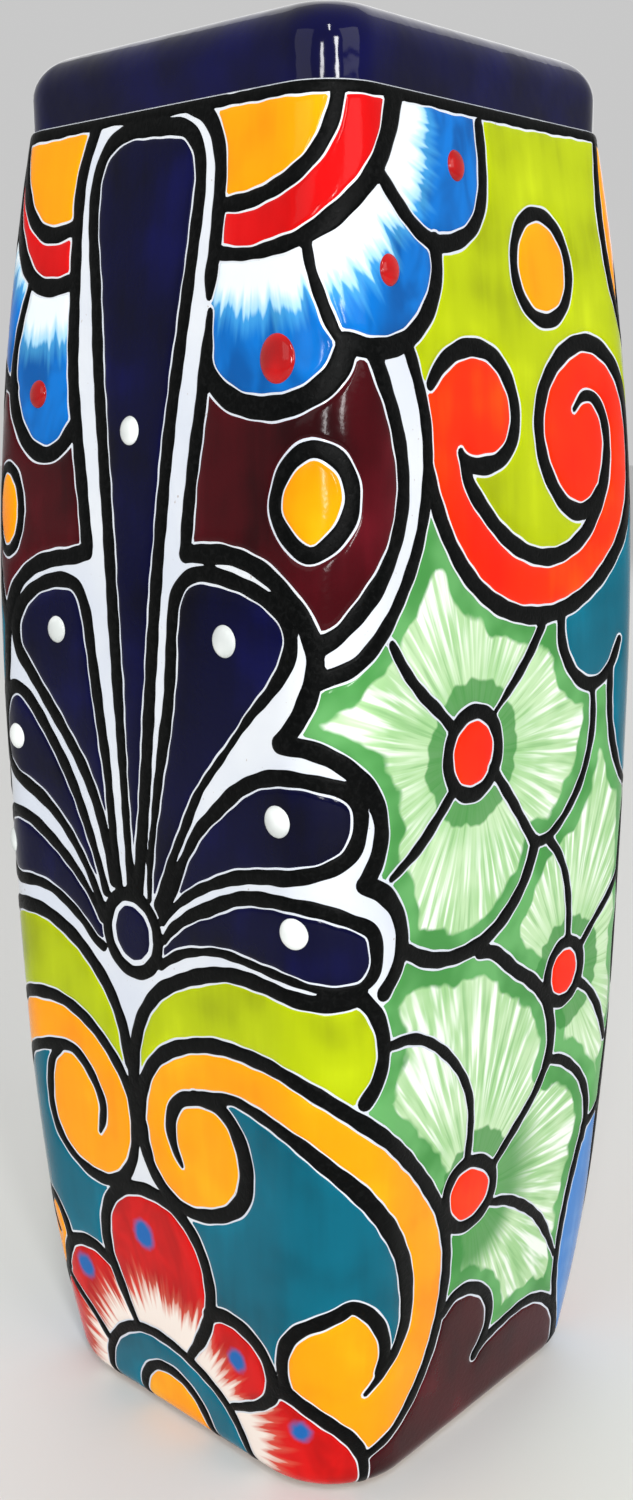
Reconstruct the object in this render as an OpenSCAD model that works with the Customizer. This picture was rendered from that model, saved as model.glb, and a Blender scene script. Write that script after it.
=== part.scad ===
// Tall four-sided pottery vase with rounded corners, a gentle belly and a thick rolled lip.
// The ware is pressed in two moulds that part at opposite corners, luted together with a half lap,
// closed by a floor slab set on a ledge, and crowned by a coil that sits over a tongue.

/* [Body] */
// Overall height, from the foot to the top of the lip
height = 374; // [300:2:460]
// Width across the flats at the belly
belly_w = 135.8; // [126:0.2:150]
// Width across the flats at the foot, before its edge is rounded
base_w = 116.8; // [110:0.2:122]
// Width across the flats just under the lip
neck_w = 113.2; // [112:0.2:116]
// Height of the widest point
belly_z = 202; // [180:1:240]
// How late the lower wall turns in towards the foot
lower_power = 3.4; // [2:0.1:4]
// How late the upper wall turns in towards the neck
upper_power = 2.1; // [1.8:0.1:4]
// Radius of the upright corners at the foot
base_corner_r = 24; // [18:1:30]
// Radius of the upright corners at the top
top_corner_r = 14; // [12:1:20]
// Rounding of the foot's outer edge
foot_r = 7; // [3:0.5:8]

/* [Wall and floor] */
// Wall thickness, glaze included
wall_t = 7; // [6:0.5:9]
// Thickness of the floor slab
floor_t = 8; // [6:0.5:12]
// Height of the floor's underside above the table
floor_lift = 2; // [1:0.5:4]
// How far the floor slab rests on the wall's ledge
ledge_w = 4; // [2:0.5:5]
// Overlap of the two wall halves at the seam
lap = 4; // [2:0.5:8]

/* [Lip] */
// Height of the lip
rim_h = 18; // [14:0.5:24]
// Width across the flats of the lip
rim_w = 112.2; // [111:0.2:113]
// Thickness of the lip, glaze included
rim_t = 12; // [11:0.5:14]
// Outer rounding of the lip
rim_r = 10; // [8:0.5:10]
// Corner radius of the mouth, inside the lip
mouth_corner_r = 8; // [6:0.5:12]

/* [Glaze] */
// Thickness of the outer glazes
glaze_t = 0.6; // [0.4:0.1:1]
// Thickness of the lining glaze
lining_t = 0.5; // [0.4:0.1:1]
// Height above the table where the wiped foot ends and the white glaze begins
glaze_z = 1.5; // [1:0.5:4]
// Height of a raised drop of enamel
drop_h = 1.6; // [1:0.1:2]

/* [Hidden] */

neck_z = height - rim_h;
floor_top = floor_lift + floor_t;
face_w = 128;                             // girth millimetres to a face, at the belly
corner_steps = 7;                         // segments round a corner
rows = 18;                                // rings up a wall
tongue_h = 2;
tongue_w = 1.8;
tongue_inset = (neck_w - rim_w) / 2 + glaze_t + 1.1; // from the neck's face to the tongue
seam_inset = (glaze_t + wall_t - lining_t) / 2;      // middle of the clay
drop_sink = 0.3;

// Drops of the front, as [girth from the front corner, height, radius]. The rear repeats them half a turn on.
white_places = [[-67, 281, 3.6], [-32.5, 232.5, 4], [-15.5, 191.5, 4], [-11, 164.5, 4],
                [-96, 229.5, 3.6], [-115.5, 198, 3.6], [-124, 166, 3.6]];
red_places = [[-15, 297, 5.6], [15.5, 316, 3.6], [45, 341, 3.6], [-105, 290, 3.6]];

function half_side(z) = z < belly_z
    ? belly_w / 2 - (belly_w - base_w) / 2 * pow((belly_z - z) / belly_z, lower_power)
    : belly_w / 2 - (belly_w - neck_w) / 2 * pow((z - belly_z) / (neck_z - belly_z), upper_power);
function corner_r(z) = base_corner_r + (top_corner_r - base_corner_r) * z / height;
// How far the foot's rounded edge has drawn in at a height
function foot_round(z) = z < foot_r ? foot_r - sqrt(foot_r * foot_r - pow(foot_r - max(z, 0), 2)) : 0;

// One ring of a rounded square, counter-clockwise
function ring(a, r, z) = [for (q = [0:3], k = [0:corner_steps])
    let (c = q * 90 + 45, t = q * 90 + k * 90 / corner_steps)
    [(a - r) * sign(cos(c)) + r * cos(t), (a - r) * sign(sin(c)) + r * sin(t), z]];

// The body's ring at a height, moved in by inset
function body_ring(z, inset) =
    ring(half_side(z) - foot_round(z) - inset, max(corner_r(z) - inset, 4), z);

// Ring heights, closer together round the foot's edge
function heights(low, high) = concat(
    [for (z = [low : 1 : foot_r - 0.01]) z],
    [let (z0 = max(low, foot_r)) for (k = [0:rows]) z0 + (high - z0) * k / rows]);

// Skin between stacked rings. closed joins the last ring to the first, and otherwise both ends are capped.
module loft(rings, closed = false) {
    m = len(rings);
    n = len(rings[0]);
    sides = [for (i = [0 : closed ? m - 1 : m - 2], k = [0 : n - 1], half = [0, 1])
        let (j = (i + 1) % m, l = (k + 1) % n, far = j * n + l)
        half == 0 ? [i * n + k, far, i * n + l] : [i * n + k, j * n + k, far]];
    caps = closed ? [] : [[for (k = [0 : n - 1]) k], [for (k = [n - 1 : -1 : 0]) (m - 1) * n + k]];
    polyhedron(points = [for (r = rings) each r], faces = concat(sides, caps), convexity = 6);
}

module body_form(inset, low, high) {
    loft([for (z = heights(low, high)) body_ring(z, inset)]);
}

module tube_form(outer, inner, low, high) {
    up = [for (z = heights(low, high)) body_ring(z, outer)];
    down = [for (z = heights(low, high)) body_ring(z, inner)];
    loft(concat(up, [for (k = [len(down) - 1 : -1 : 0]) down[k]]), closed = true);
}

module tongue() {
    a = neck_w / 2 - tongue_inset;
    r = corner_r(neck_z) - tongue_inset;
    difference() {
        loft([for (z = [neck_z - 0.5, neck_z + tongue_h]) ring(a, r, z)]);
        loft([for (z = [neck_z - 1, neck_z + tongue_h + 1]) ring(a - tongue_w, r - tongue_w, z)]);
    }
}

module floor_blank(low, high, grow) {
    a = half_side(floor_lift) - wall_t + grow;
    r = corner_r(floor_lift) - wall_t + grow;
    loft([for (z = [low, high]) ring(a, r, z)]);
}

module clay_wall() {
    union() {
        difference() {
            body_form(glaze_t, 0, neck_z);
            body_form(wall_t - lining_t, floor_top, neck_z + 1);
            floor_blank(floor_lift, floor_top + 0.01, 0);
            floor_blank(-1, floor_lift + 1, -ledge_w);
        }
        tongue();
    }
}

// Everything on the front mould's side of the half-lap seam
module front_region() {
    rotate([0, 0, -45]) translate([lap, -height, -1]) cube([height, 2 * height, height + 2]);
    intersection() {
        rotate([0, 0, -45]) translate([-lap, -height, -1]) cube([height, 2 * height, height + 2]);
        body_form(seam_inset, -0.5, neck_z + tongue_h + 1);
    }
}

module front_half_wall() {
    color("sienna") intersection() {
        clay_wall();
        front_region();
    }
}

module rear_half_wall() {
    color("peru") difference() {
        clay_wall();
        front_region();
    }
}

module floor_slab() {
    color("chocolate") floor_blank(floor_lift, floor_top, 0);
}

// The lip's section from its outer foot over the top to its inner foot, as [depth, height], moved in by s
function rim_section(s) = concat(
    [[s, 0], [s, rim_h - rim_r]],
    [for (k = [1:6]) let (t = 180 - k * 15)
        [rim_r + (rim_r - s) * cos(t), rim_h - rim_r + (rim_r - s) * sin(t)]],
    [let (r = rim_t - rim_r) for (k = [1:3]) let (t = 90 - k * 30)
        [rim_r + (r - s) * cos(t), rim_h - r + (r - s) * sin(t)]],
    [[rim_t - s, 0]]);
function rim_rings(s) = [for (p = rim_section(s))
    ring(rim_w / 2 - p[0], top_corner_r - (top_corner_r - mouth_corner_r) * p[0] / rim_t, neck_z + p[1])];

module rim_coil() {
    color("saddlebrown") difference() {
        loft(rim_rings(glaze_t), closed = true);
        tongue();
    }
}

module cobalt_rim_glaze() {
    inside = rim_rings(glaze_t);
    color("navy")
        loft(concat(rim_rings(0), [for (k = [len(inside) - 1 : -1 : 0]) inside[k]]), closed = true);
}

module white_glaze() {
    color("white") tube_form(0, glaze_t, glaze_z, neck_z);
}

module lining_glaze() {
    color("ivory") difference() {
        body_form(wall_t - lining_t, floor_top, neck_z);
        body_form(wall_t, floor_top + lining_t, neck_z + 1);
    }
}

// Where a drop stands: [x, y, direction it faces] for a girth and a height
function stand(g, z) =
    let (a = half_side(z), r = corner_r(z), run = 2 * (a - r) + PI * r / 2, u = g / face_w,
         q = floor(u + 0.5), d = (u - q) * run, half = PI * r / 4,
         turn = max(-45, min(45, d / r * 180 / PI)), along = d - max(-half, min(half, d)),
         mid = q * 90 - 45, t = mid + turn)
    [(a - r) * sqrt(2) * cos(mid) + r * cos(t) - along * sin(t),
     (a - r) * sqrt(2) * sin(mid) + r * sin(t) + along * cos(t), t];

module drop(g, z, r) {
    at = stand(g, z);
    ball_r = (r * r + drop_h * drop_h) / (2 * drop_h);
    translate([at[0], at[1], z]) rotate([0, 90, at[2]]) intersection() {
        translate([0, 0, drop_h - ball_r]) sphere(r = ball_r, $fn = 48);
        translate([0, 0, -drop_sink]) cylinder(r = r, h = drop_h + 1, $fn = 48);
    }
}

module drops(places) {
    for (turn = [0, 2 * face_w], p = places) drop(p[0] + turn, p[1], p[2]);
}

module white_drops() {
    color("whitesmoke") drops(white_places);
}

module red_drops() {
    color("crimson") drops(red_places);
}

front_half_wall();
rear_half_wall();
floor_slab();
rim_coil();
white_glaze();
lining_glaze();
cobalt_rim_glaze();
white_drops();
red_drops();
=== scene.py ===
import math
import bpy
import numpy as np
from mathutils import Matrix, Vector
from mathutils.geometry import delaunay_2d_cdt


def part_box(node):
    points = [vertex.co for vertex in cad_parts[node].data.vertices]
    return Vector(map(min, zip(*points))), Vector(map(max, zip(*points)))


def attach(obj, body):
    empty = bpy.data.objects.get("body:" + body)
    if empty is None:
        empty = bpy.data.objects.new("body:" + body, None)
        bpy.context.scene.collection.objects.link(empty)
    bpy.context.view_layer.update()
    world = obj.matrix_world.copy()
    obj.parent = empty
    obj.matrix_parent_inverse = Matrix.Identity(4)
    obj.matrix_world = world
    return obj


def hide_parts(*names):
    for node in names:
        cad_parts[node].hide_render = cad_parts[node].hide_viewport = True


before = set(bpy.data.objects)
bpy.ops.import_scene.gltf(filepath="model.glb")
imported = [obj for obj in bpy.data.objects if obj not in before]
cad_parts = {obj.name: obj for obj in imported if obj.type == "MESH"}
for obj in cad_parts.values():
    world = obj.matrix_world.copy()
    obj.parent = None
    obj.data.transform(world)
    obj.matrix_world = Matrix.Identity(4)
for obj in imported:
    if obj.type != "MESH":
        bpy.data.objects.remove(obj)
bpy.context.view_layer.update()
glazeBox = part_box("white_glaze")
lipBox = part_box("cobalt_rim_glaze")
mm = 0.001                                # the design is drawn in millimetres

# The ware's form. A place on it is a girth, counted from the near corner, and a height.
ware = {
    "Belly Half Side": glazeBox[1].x / mm,
    "Belly Height": 202,
    "Lower Pull": 9.5,
    "Lower Power": 3.4,
    "Upper Pull": 11.3,
    "Upper Power": 2.1,
    "Neck Height": glazeBox[1].z / mm,
    "Foot Corner": 24,
    "Top Corner": 14,
    "Full Height": lipBox[1].z / mm,
    "Foot Rounding": 7,
    "Least Corner": 4,
    "Face Girth": 128,
    "Hand Wobble": 0.35,
}
faceGirth = ware["Face Girth"]
halfTurn = 2 * faceGirth
neckHeight = ware["Neck Height"]

# A brush line: how wide, then its [girth, height] points, with the width there where it swells or thins.
brushLines = {
    # cobalt fan
    "longPetal": (4.3, [(-69, 162, 3.4), (-70, 179, 3), (-70.7, 194, 3.2), (-72.3, 224), (-74.8, 254),
        (-77.3, 274), (-80.2, 294), (-83, 314), (-86.4, 332), (-86.2, 342), (-82.8, 348), (-76, 351),
        (-67, 351.4), (-58, 351), (-50, 349.6), (-45.3, 345.6), (-43.6, 339), (-45.2, 324), (-48.3, 304),
        (-51.7, 284), (-55.2, 256), (-57.7, 234), (-60.6, 206), (-63, 186), (-66.3, 164)]),
    "bandLeft": (4.6, [(-87, 356, 3.4), (-90.6, 350), (-93.2, 342), (-93.2, 332), (-92, 314),
        (-90.6, 294), (-87.8, 278), (-85.2, 264), (-83.3, 252)]),
    "bandRight": (4.6, [(-50, 354.4, 2.6), (-44, 353), (-39.2, 349), (-36.4, 342), (-36.4, 332),
        (-37.4, 322), (-38.4, 316), (-38.8, 311.6, 2.4)]),
    "bandRightLow": (4.2, [(-38.3, 308, 2), (-39.2, 299), (-41, 287), (-43.3, 274), (-45, 262),
        (-46, 252.6)]),
    "scallopRight1": (4.6, [(-46, 252.2), (-39, 252.7), (-32, 252.8), (-25, 251.6), (-17, 248.2),
        (-10, 242.4), (-6.3, 236), (-5, 230), (-6.4, 223), (-10, 215.6), (-14.8, 210.2)]),
    "scallopRight2": (4.6, [(-14.8, 210), (-7, 209.8), (0, 207), (6, 201.8), (10, 195.6), (11.2, 189),
        (9.8, 182.6), (6.7, 177.2)]),
    "scallopRight3": (4.8, [(6.7, 177), (12.2, 173.6), (17, 167.4), (18.6, 160.5), (16.8, 154),
        (12.4, 148.8)]),
    "scallopLeft1": (4.4, [(-83.3, 250.6), (-90, 249), (-97, 248), (-105, 245.8), (-111, 242),
        (-115.4, 236.6), (-118, 230), (-119, 222), (-120.6, 213)]),
    "scallopLeft2": (4.2, [(-120.6, 213), (-125, 207), (-128.4, 199), (-129.4, 191), (-127.4, 182)]),
    "scallopLeft3": (4.2, [(-127.4, 182), (-131.6, 174), (-134.4, 164), (-134.6, 155), (-131.6, 146)]),
    "petalRight1": (4, [(-62, 162, 2), (-61.6, 169, 2.2), (-60.8, 175, 2.4), (-59.1, 184, 2.6),
        (-57.2, 194, 3.2), (-55, 204), (-52.9, 214), (-51.7, 224), (-51, 234), (-49.4, 242),
        (-45.4, 246.4), (-39, 248), (-31, 247.1), (-22.5, 245), (-16, 242), (-11.8, 237.6), (-11.2, 233),
        (-13, 228), (-17.6, 222, 3.4), (-24, 215.7, 2.4), (-32.5, 205.7, 2), (-42.2, 194, 2.6),
        (-47.6, 184, 3), (-52.9, 174, 2.8), (-55.6, 167), (-58.4, 161)]),
    "petalRight2": (4, [(-57.5, 159.5), (-54.2, 165), (-51.2, 170.5), (-48.8, 174.8, 3),
        (-45.8, 179.6, 3), (-42.6, 184.2, 3.4), (-36.7, 189.8), (-28.3, 197), (-20, 201), (-12, 202.4),
        (-3.3, 201.6), (2.6, 199.6), (5.3, 195.4), (5.3, 190), (3.3, 184.8), (-1.4, 181.4),
        (-11.7, 178.2), (-20, 176.9), (-29.2, 174.8, 3.6), (-36.7, 171.8, 3.2), (-45, 167.5, 2.8),
        (-53, 161.5, 2.4), (-57.4, 157, 2.4)]),
    "petalRight3": (3.8, [(-57, 152, 2.4), (-54, 155.5, 2.8), (-50, 158.7, 3), (-45, 161.9), (-40, 164.3),
        (-35, 166.9), (-28, 169.8), (-20, 171.2), (-11, 171.6), (-3.3, 170.7), (3.4, 168.2), (8.6, 165),
        (10, 160), (9.4, 154.6), (6, 151.3, 3), (0, 150.6, 2.4), (-6, 151.3, 2.2), (-12, 152.4, 2.4),
        (-20, 153.1, 2.4), (-36, 153.7, 2.4), (-45, 151.7, 2.4), (-50, 150, 2.6), (-55, 147.2, 2.8),
        (-58.8, 144.6, 2.8)]),
    "petalLeft1": (4, [(-74, 162, 3), (-76.2, 184, 3.2), (-77, 194, 3.4), (-79, 207), (-82, 225),
        (-84.2, 236), (-87.6, 241.4), (-93, 242.8), (-100, 241.8), (-107, 238.8), (-111.8, 234.4),
        (-114, 228.6), (-113, 222.8), (-108, 217), (-101, 209.6), (-94, 202), (-87.4, 194), (-82.2, 185),
        (-78.6, 175, 3.6), (-76.4, 164, 3.4)]),
    "petalLeft2": (4, [(-79.6, 160.6, 3), (-82.2, 168, 3), (-86.4, 178, 3.4), (-90.8, 186.8),
        (-95.4, 194), (-100.2, 200), (-105.4, 206), (-110.6, 210.6), (-115.4, 212), (-119.6, 209.4),
        (-122.8, 203.6), (-124.2, 197), (-122.6, 191), (-118, 187.4), (-112, 185), (-105, 182),
        (-98, 177.4, 3.4), (-91.4, 171, 3), (-85.8, 163.6, 3), (-81.6, 156, 3)]),
    "petalLeft3": (3.8, [(-82, 152.4, 2.4), (-86, 158, 2.6), (-91.6, 163.6, 3), (-98, 168.4),
        (-105, 172.6), (-112, 175.6), (-119, 176), (-125.4, 173.6), (-129, 168.6), (-129.2, 162.4),
        (-126, 157.8), (-120, 156.4), (-111, 157.2, 3.2), (-104, 156.6, 3), (-97, 154, 3), (-90, 150, 3),
        (-84.6, 145.6, 3.2), (-82, 144.6, 3.2)]),
    # lime leaves and the stem between the scrolls
    "limeTopRight": (4.2, [(-71, 112), (-69.6, 121), (-66.4, 129), (-60, 136.8), (-52, 141.8),
        (-42, 146.2), (-32, 148.8), (-20, 148.9), (-9, 147.7), (0, 147.4), (6, 148.6, 3)]),
    "limeEndRight": (4.2, [(6, 148.4), (9.8, 143.6), (12, 137.6), (12.2, 131.5), (10.4, 125.7),
        (7, 120.8)]),
    "limeTopLeft": (4.4, [(-73, 113), (-75.2, 123.6), (-80.5, 133), (-86.5, 139), (-93, 143.8),
        (-100, 147), (-108, 149.2), (-116, 149.2), (-124, 147.4), (-130.6, 143.6)]),
    "limeEndLeft": (4.2, [(-130.6, 144.6), (-133.6, 138), (-134.4, 131), (-132.8, 122), (-129.5, 116.5)]),
    "stem": (5, [(-71.6, 118, 4), (-71.5, 106), (-71, 96, 4.6), (-70.4, 90, 2.6)]),
    # left scroll
    "scrollLeftCurl": (3.4, [(-128.6, 86), (-127, 95), (-122.6, 102), (-116, 106), (-110, 108.2),
        (-104, 109.8), (-98, 110.2), (-93.4, 107.8), (-89, 103), (-86.2, 97), (-86.8, 91.8, 2.8),
        (-88.6, 87.4, 1.4)]),
    "scrollLeftLoop": (3.8, [(-104, 109, 3), (-108.3, 104, 3), (-110.3, 96, 3), (-110.4, 88, 3),
        (-107.8, 80.8, 3), (-102, 75.5, 3), (-94, 72.8), (-86, 73.2), (-79, 77.2), (-74.8, 83),
        (-72.6, 91), (-72.6, 99.6), (-75, 106.7), (-80.5, 113.6), (-88, 119.4), (-95, 122.6),
        (-102, 124.2), (-110, 124), (-118, 122.2), (-126, 118), (-132, 111), (-135.6, 100), (-137, 86),
        (-136.6, 70), (-134.6, 54), (-131.6, 40), (-127.8, 29), (-125.2, 24)]),
    "scrollLeftHook": (4, [(-128.6, 86), (-129, 74), (-128.2, 63), (-125.4, 54), (-121, 48, 2.4),
        (-118, 45, 1.4)]),
    "bulbLeft": (3.6, [(-112.6, 41), (-110.8, 44.6), (-111.6, 50.4), (-115, 55.4), (-119.4, 56.8),
        (-123.4, 54.6), (-125.4, 51)]),
    # right scroll
    "scrollRightOuter": (4.2, [(-67.4, 87), (-69.4, 95), (-69, 102.6), (-66.8, 110), (-62, 117),
        (-55.5, 121.9), (-47, 125.6), (-38, 127.9), (-26, 128.4), (-15, 127.4), (-6, 123.9), (3, 118),
        (13, 109.7), (22, 100.2), (30.5, 89.3), (37, 78.6), (40.2, 68), (40.4, 57), (38.4, 46.6),
        (34.4, 35.8), (28, 26.3), (20, 19.3, 3.4), (9.6, 13.8, 2.8)]),
    "scrollRightCurl": (4.6, [(-47, 111, 4), (-40, 111.4, 4.6), (-34, 108.6), (-29.8, 102.6, 5.4),
        (-28.2, 95, 5.6), (-29.8, 87.4, 5.2), (-35, 81.6), (-43, 77.6, 4), (-51, 75.9, 3.8),
        (-59, 77.6, 4), (-65, 82.2), (-68.4, 88.6), (-69.4, 96)]),
    "scrollRightInner": (4.2, [(-53.4, 88.9, 1.4), (-55.8, 92.8, 3), (-57.2, 98), (-56.2, 104),
        (-52.4, 108.6), (-46.5, 110.8), (-39, 113, 3.6), (-32.5, 114.7, 3.2), (-25, 113.9, 3.2),
        (-17, 112.2, 3.8), (-10, 109.4), (-2, 103.4, 4.6), (5, 96.8, 4.8), (11, 89.3, 5), (17, 80, 5.4),
        (21, 71, 5.8), (22.8, 61, 5.8), (22.2, 52, 5), (18.4, 45.2), (13.4, 40, 3), (8.3, 35, 1.4)]),
    "bulbRight": (4.2, [(-15.6, 35), (-16.8, 42), (-15.4, 49), (-11, 55), (-4.6, 58.8), (0.4, 61.4),
        (3.8, 63.2), (8.4, 60.4), (12.6, 54.4), (14.4, 48), (13.2, 41)]),
    # bottom flower
    "petalBig": (4.4, [(-81.5, 28, 3), (-83.8, 32.4, 3.2), (-87.6, 41), (-90.6, 49), (-90.8, 57),
        (-88.4, 64.8), (-83, 71), (-75.4, 74.6), (-66.5, 75.8), (-58, 74.2), (-51.2, 69.6), (-46.8, 63),
        (-44.8, 54.6), (-45.6, 46.4), (-49.4, 37.8), (-54.4, 30.6, 3.4), (-56.5, 28, 3)]),
    "petalLeftSmall": (4, [(-117, 32, 3.4), (-114, 39.6), (-110.4, 44.8), (-104.6, 47.5), (-97.5, 48),
        (-91.5, 45.6)]),
    "petalLeftLow": (2.8, [(-117, 32), (-110, 27.2), (-104.6, 22.6), (-99.6, 16.8)]),
    "petalFarLeft": (3.6, [(-115.4, 35), (-121, 29.4), (-125.4, 21.6), (-127.4, 12.4), (-127.4, 3)]),
    "petalRightSmall": (4.6, [(-46.4, 45.4, 4), (-42, 47.6), (-36, 48.2), (-29.5, 46.6), (-24, 42.8),
        (-21, 37.5, 5), (-21, 31.2, 5), (-25, 26, 3.8), (-31, 22.2, 3), (-38.7, 18.6, 2.4)]),
    "petalLowRight": (4.6, [(-21, 33), (-15.6, 33.8, 5.4), (-10, 31.2), (-2.6, 26.4), (3.5, 21.2, 4.4),
        (7.3, 15.3, 4), (8.8, 9, 3.4), (8.4, 1, 3)]),
    "ringOuter": (3.4, [(-101.4, 1), (-100, 10.6), (-96.5, 17), (-90, 23), (-82, 26.9), (-73, 28.4),
        (-63, 27.5), (-53, 24.5), (-44.4, 20.2), (-39, 15.6), (-34.6, 9), (-30.8, 1)]),
    "ringInner": (3.4, [(-84.4, 1), (-83, 8.6), (-79, 14), (-73.6, 17.2), (-67.6, 18), (-61.6, 16.8),
        (-56, 13.4), (-52, 8.4), (-48.6, 1)]),
    # top flower of the near corner
    "discRight": (3.8, [(-35, 331.4, 3.4), (-26, 331.7), (-18, 333.3), (-11, 335.7), (-5.5, 339.4),
        (-1.8, 344), (0.6, 349), (2, 355)]),
    "redRingRight": (4.6, [(-36.5, 320.9, 3), (-26, 320.1, 3), (-17, 320.9, 3.4), (-9, 322.4, 3.8),
        (-1.5, 325.9), (5, 330.8), (10.8, 336.3, 5), (15, 341.9, 5.4), (18, 347.5, 6.4), (20.6, 355, 7)]),
    "petalA": (5.4, [(-38.7, 306, 2), (-38.9, 299, 3), (-37.4, 293.3, 4.6), (-32.6, 289.2), (-26, 286.9),
        (-18, 286.2), (-10, 287.3), (-3.4, 290.4), (0.8, 294.6), (2.8, 299.6)]),
    "petalAB": (2.8, [(-7, 322.5), (-5.6, 316), (-3.4, 310), (-0.8, 304), (2.4, 299)]),
    "petalB": (4.8, [(2.8, 300.2), (8.4, 299), (15, 299.2), (22, 301.2), (28, 305.2), (32.4, 310.6),
        (34.5, 316.6), (34.2, 323)]),
    "petalBC": (4, [(11.6, 338), (17, 333.2), (22, 329), (27.5, 325.3), (34.2, 322.6)]),
    "petalC": (4, [(34.2, 322.8), (41, 323.4), (48, 325.6), (53, 329.2), (56.3, 335), (57.5, 342.5),
        (57.4, 351)]),
    # wine field of the near corner
    "arcInner": (4.6, [(9.4, 298.8, 4), (12.8, 292), (16.5, 284), (19, 275), (19.3, 266), (16.8, 257),
        (12, 249), (6, 242), (0, 236, 3.8), (-4, 233.6)]),
    "arcOuter": (4, [(21.4, 301), (25, 293.5), (28, 284.5), (28.8, 275), (27.6, 264.5), (24.2, 254),
        (18.5, 244.3), (11, 235.3), (4, 229), (-4.2, 225.8)]),
    # left flower
    "discLeft": (4, [(-124.6, 355), (-121.8, 346), (-118.5, 339.6), (-114.4, 334.2), (-109, 330.4),
        (-103, 329.3), (-94, 330.6)]),
    "redRingLeft": (4.4, [(-129.4, 355), (-127, 344), (-123, 334), (-118.6, 327), (-114, 321.2),
        (-108.5, 317.4), (-102, 316.4), (-93, 317.6)]),
    "petalLeftA": (4.4, [(-112.4, 317.4, 2.4), (-115, 309, 2.6), (-117, 299, 3), (-116.6, 290),
        (-113.4, 282.5), (-108, 276.6), (-101, 274.6), (-95, 276.8), (-90, 281.6)]),
    "petalLeftB": (4.2, [(-123.4, 334, 3.4), (-128, 327), (-132, 317), (-131.6, 307), (-128, 299),
        (-122.6, 294), (-116.4, 291.6)]),
    "wineEdgeLeft": (4.4, [(-124, 295), (-128, 285), (-130.6, 273), (-130.4, 260), (-127.6, 248),
        (-123, 238), (-118.6, 230)]),
    # right face: lime field and coral scroll
    "leafRight": (3.2, [(120, 355), (116.8, 346), (115.2, 336), (115.6, 327), (117.6, 317), (121.4, 309),
        (125.6, 303)]),
    "coralCurlLeft": (4.4, [(30.4, 291.4, 3), (34.6, 295.6), (41, 298.9), (48, 300), (55, 298.8),
        (60.5, 295.2), (64.3, 289.5), (65.3, 283), (63, 277.2), (58, 273.5), (51, 272.2),
        (45.4, 272.9, 3.4), (41.8, 275.8, 1.6)]),
    "coralInner": (4.4, [(41.8, 275.6, 2.4), (45, 268.2), (50.5, 262.2), (58, 255.8), (67, 250.9),
        (77, 248.4), (87, 249.2), (96, 253.2), (102.5, 259.5), (106.8, 268), (108.5, 277, 3.6),
        (106.8, 284.4, 3.6), (102.5, 288.4, 3.4), (97.5, 288.5, 2.6), (93, 285.3, 1.2)]),
    "coralOuter": (4.6, [(29.4, 273, 3), (31.6, 264.4), (36.5, 255.4), (43, 247.4), (51, 241),
        (60, 236.6), (70, 234.1), (80, 233.6), (90, 235.2), (100, 239), (108, 244.2), (114, 250.2),
        (118.5, 257.8), (121, 267), (121.4, 278), (119.2, 289), (114, 296.8), (107, 301.2), (99, 302.3),
        (91, 300.2), (84, 296), (78.6, 290), (76, 282.5), (77.2, 274), (81, 267.2), (87, 261.3),
        (93.5, 259), (99, 260), (104, 263.4)]),
    # teal scallop and lobe
    "tealScallop": (3.8, [(84.6, 233.4), (85, 226), (88, 220), (93, 215), (99.5, 212.3), (105.5, 213.3),
        (110, 216.8, 3.4), (113.8, 223, 2.6)]),
    "tealLobe": (3, [(109.6, 215.5), (109.7, 207), (110.8, 199), (113.3, 191.3), (117.5, 184.5),
        (123, 181)]),
    # green flowers
    "spokeUpLeft": (3.2, [(14.6, 233, 2.4), (20, 225.8), (26.4, 219.4), (32, 215), (38, 209.6)]),
    "spokeUpRight": (3, [(75.6, 230.9), (70.8, 225, 3.4), (65.6, 219.8, 3), (60.8, 215.7, 2.4),
        (55.4, 211.4, 1.6)]),
    "spokeDownLeft": (3.4, [(38.4, 194), (32, 188.2), (25, 182.6), (18.6, 179, 2.8), (14.4, 177, 2)]),
    "spokeDownRight": (3.2, [(54.4, 197), (59.2, 191.5), (64.2, 185.7), (70, 178.4), (74.6, 172.7)]),
    "lobeLow": (4.2, [(21, 156.8), (27, 153.4), (34, 151.1), (42, 150.2), (50, 150.9), (57.5, 153.4),
        (64, 157.4), (69.5, 162.6), (73, 168.4), (74.8, 172.8)]),
    "lobeRight": (2.8, [(74.8, 172.8, 3.2), (80, 172.9), (85.5, 175.4), (91, 179.8), (96, 185.6),
        (99.4, 192.5), (101.2, 200), (101.2, 207), (100.2, 212.6)]),
    "flowerTwoUp": (2.8, [(81, 172.6), (86, 167.5), (89.8, 161), (91.8, 154), (92.6, 147), (92.7, 140)]),
    "flowerTwoUpRight": (2.6, [(99.4, 137), (105.8, 142.6), (112, 147.6), (118, 152.8), (122.6, 156)]),
    "flowerTwoDown": (2.8, [(99, 126.6), (105, 122.3), (110, 116.6), (113.5, 110.6), (117, 104)]),
    "lobeThree": (4, [(50.5, 148.8), (57, 146.7), (62, 143), (67.5, 138.6), (74, 134.4), (79.8, 129.4),
        (84, 123.5), (86.2, 116.5), (86.2, 110), (84.6, 105.4)]),
    "lobeFour": (3, [(85.6, 106.8), (92, 104.8), (98, 101), (103.5, 96), (107.5, 89.6), (109.2, 82),
        (108.4, 74)]),
    "flowerThreeUp": (2.9, [(15, 134.2), (22, 133.6), (28.5, 131), (34.5, 126.8), (40, 121.6), (45, 115),
        (48.2, 107.8), (49, 100), (48, 89.4)]),
    "flowerThreeRight": (3.2, [(85.4, 106.5), (80, 99), (73.5, 93.3), (67.5, 88.8), (60.6, 83.8)]),
    "flowerThreeDown": (3.2, [(60.6, 72.4, 2), (69, 69.6), (76, 65.6), (83, 60.6), (89, 55),
        (94, 48.8, 2.8), (98.7, 42, 2), (100.8, 39, 1.6)]),
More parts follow.
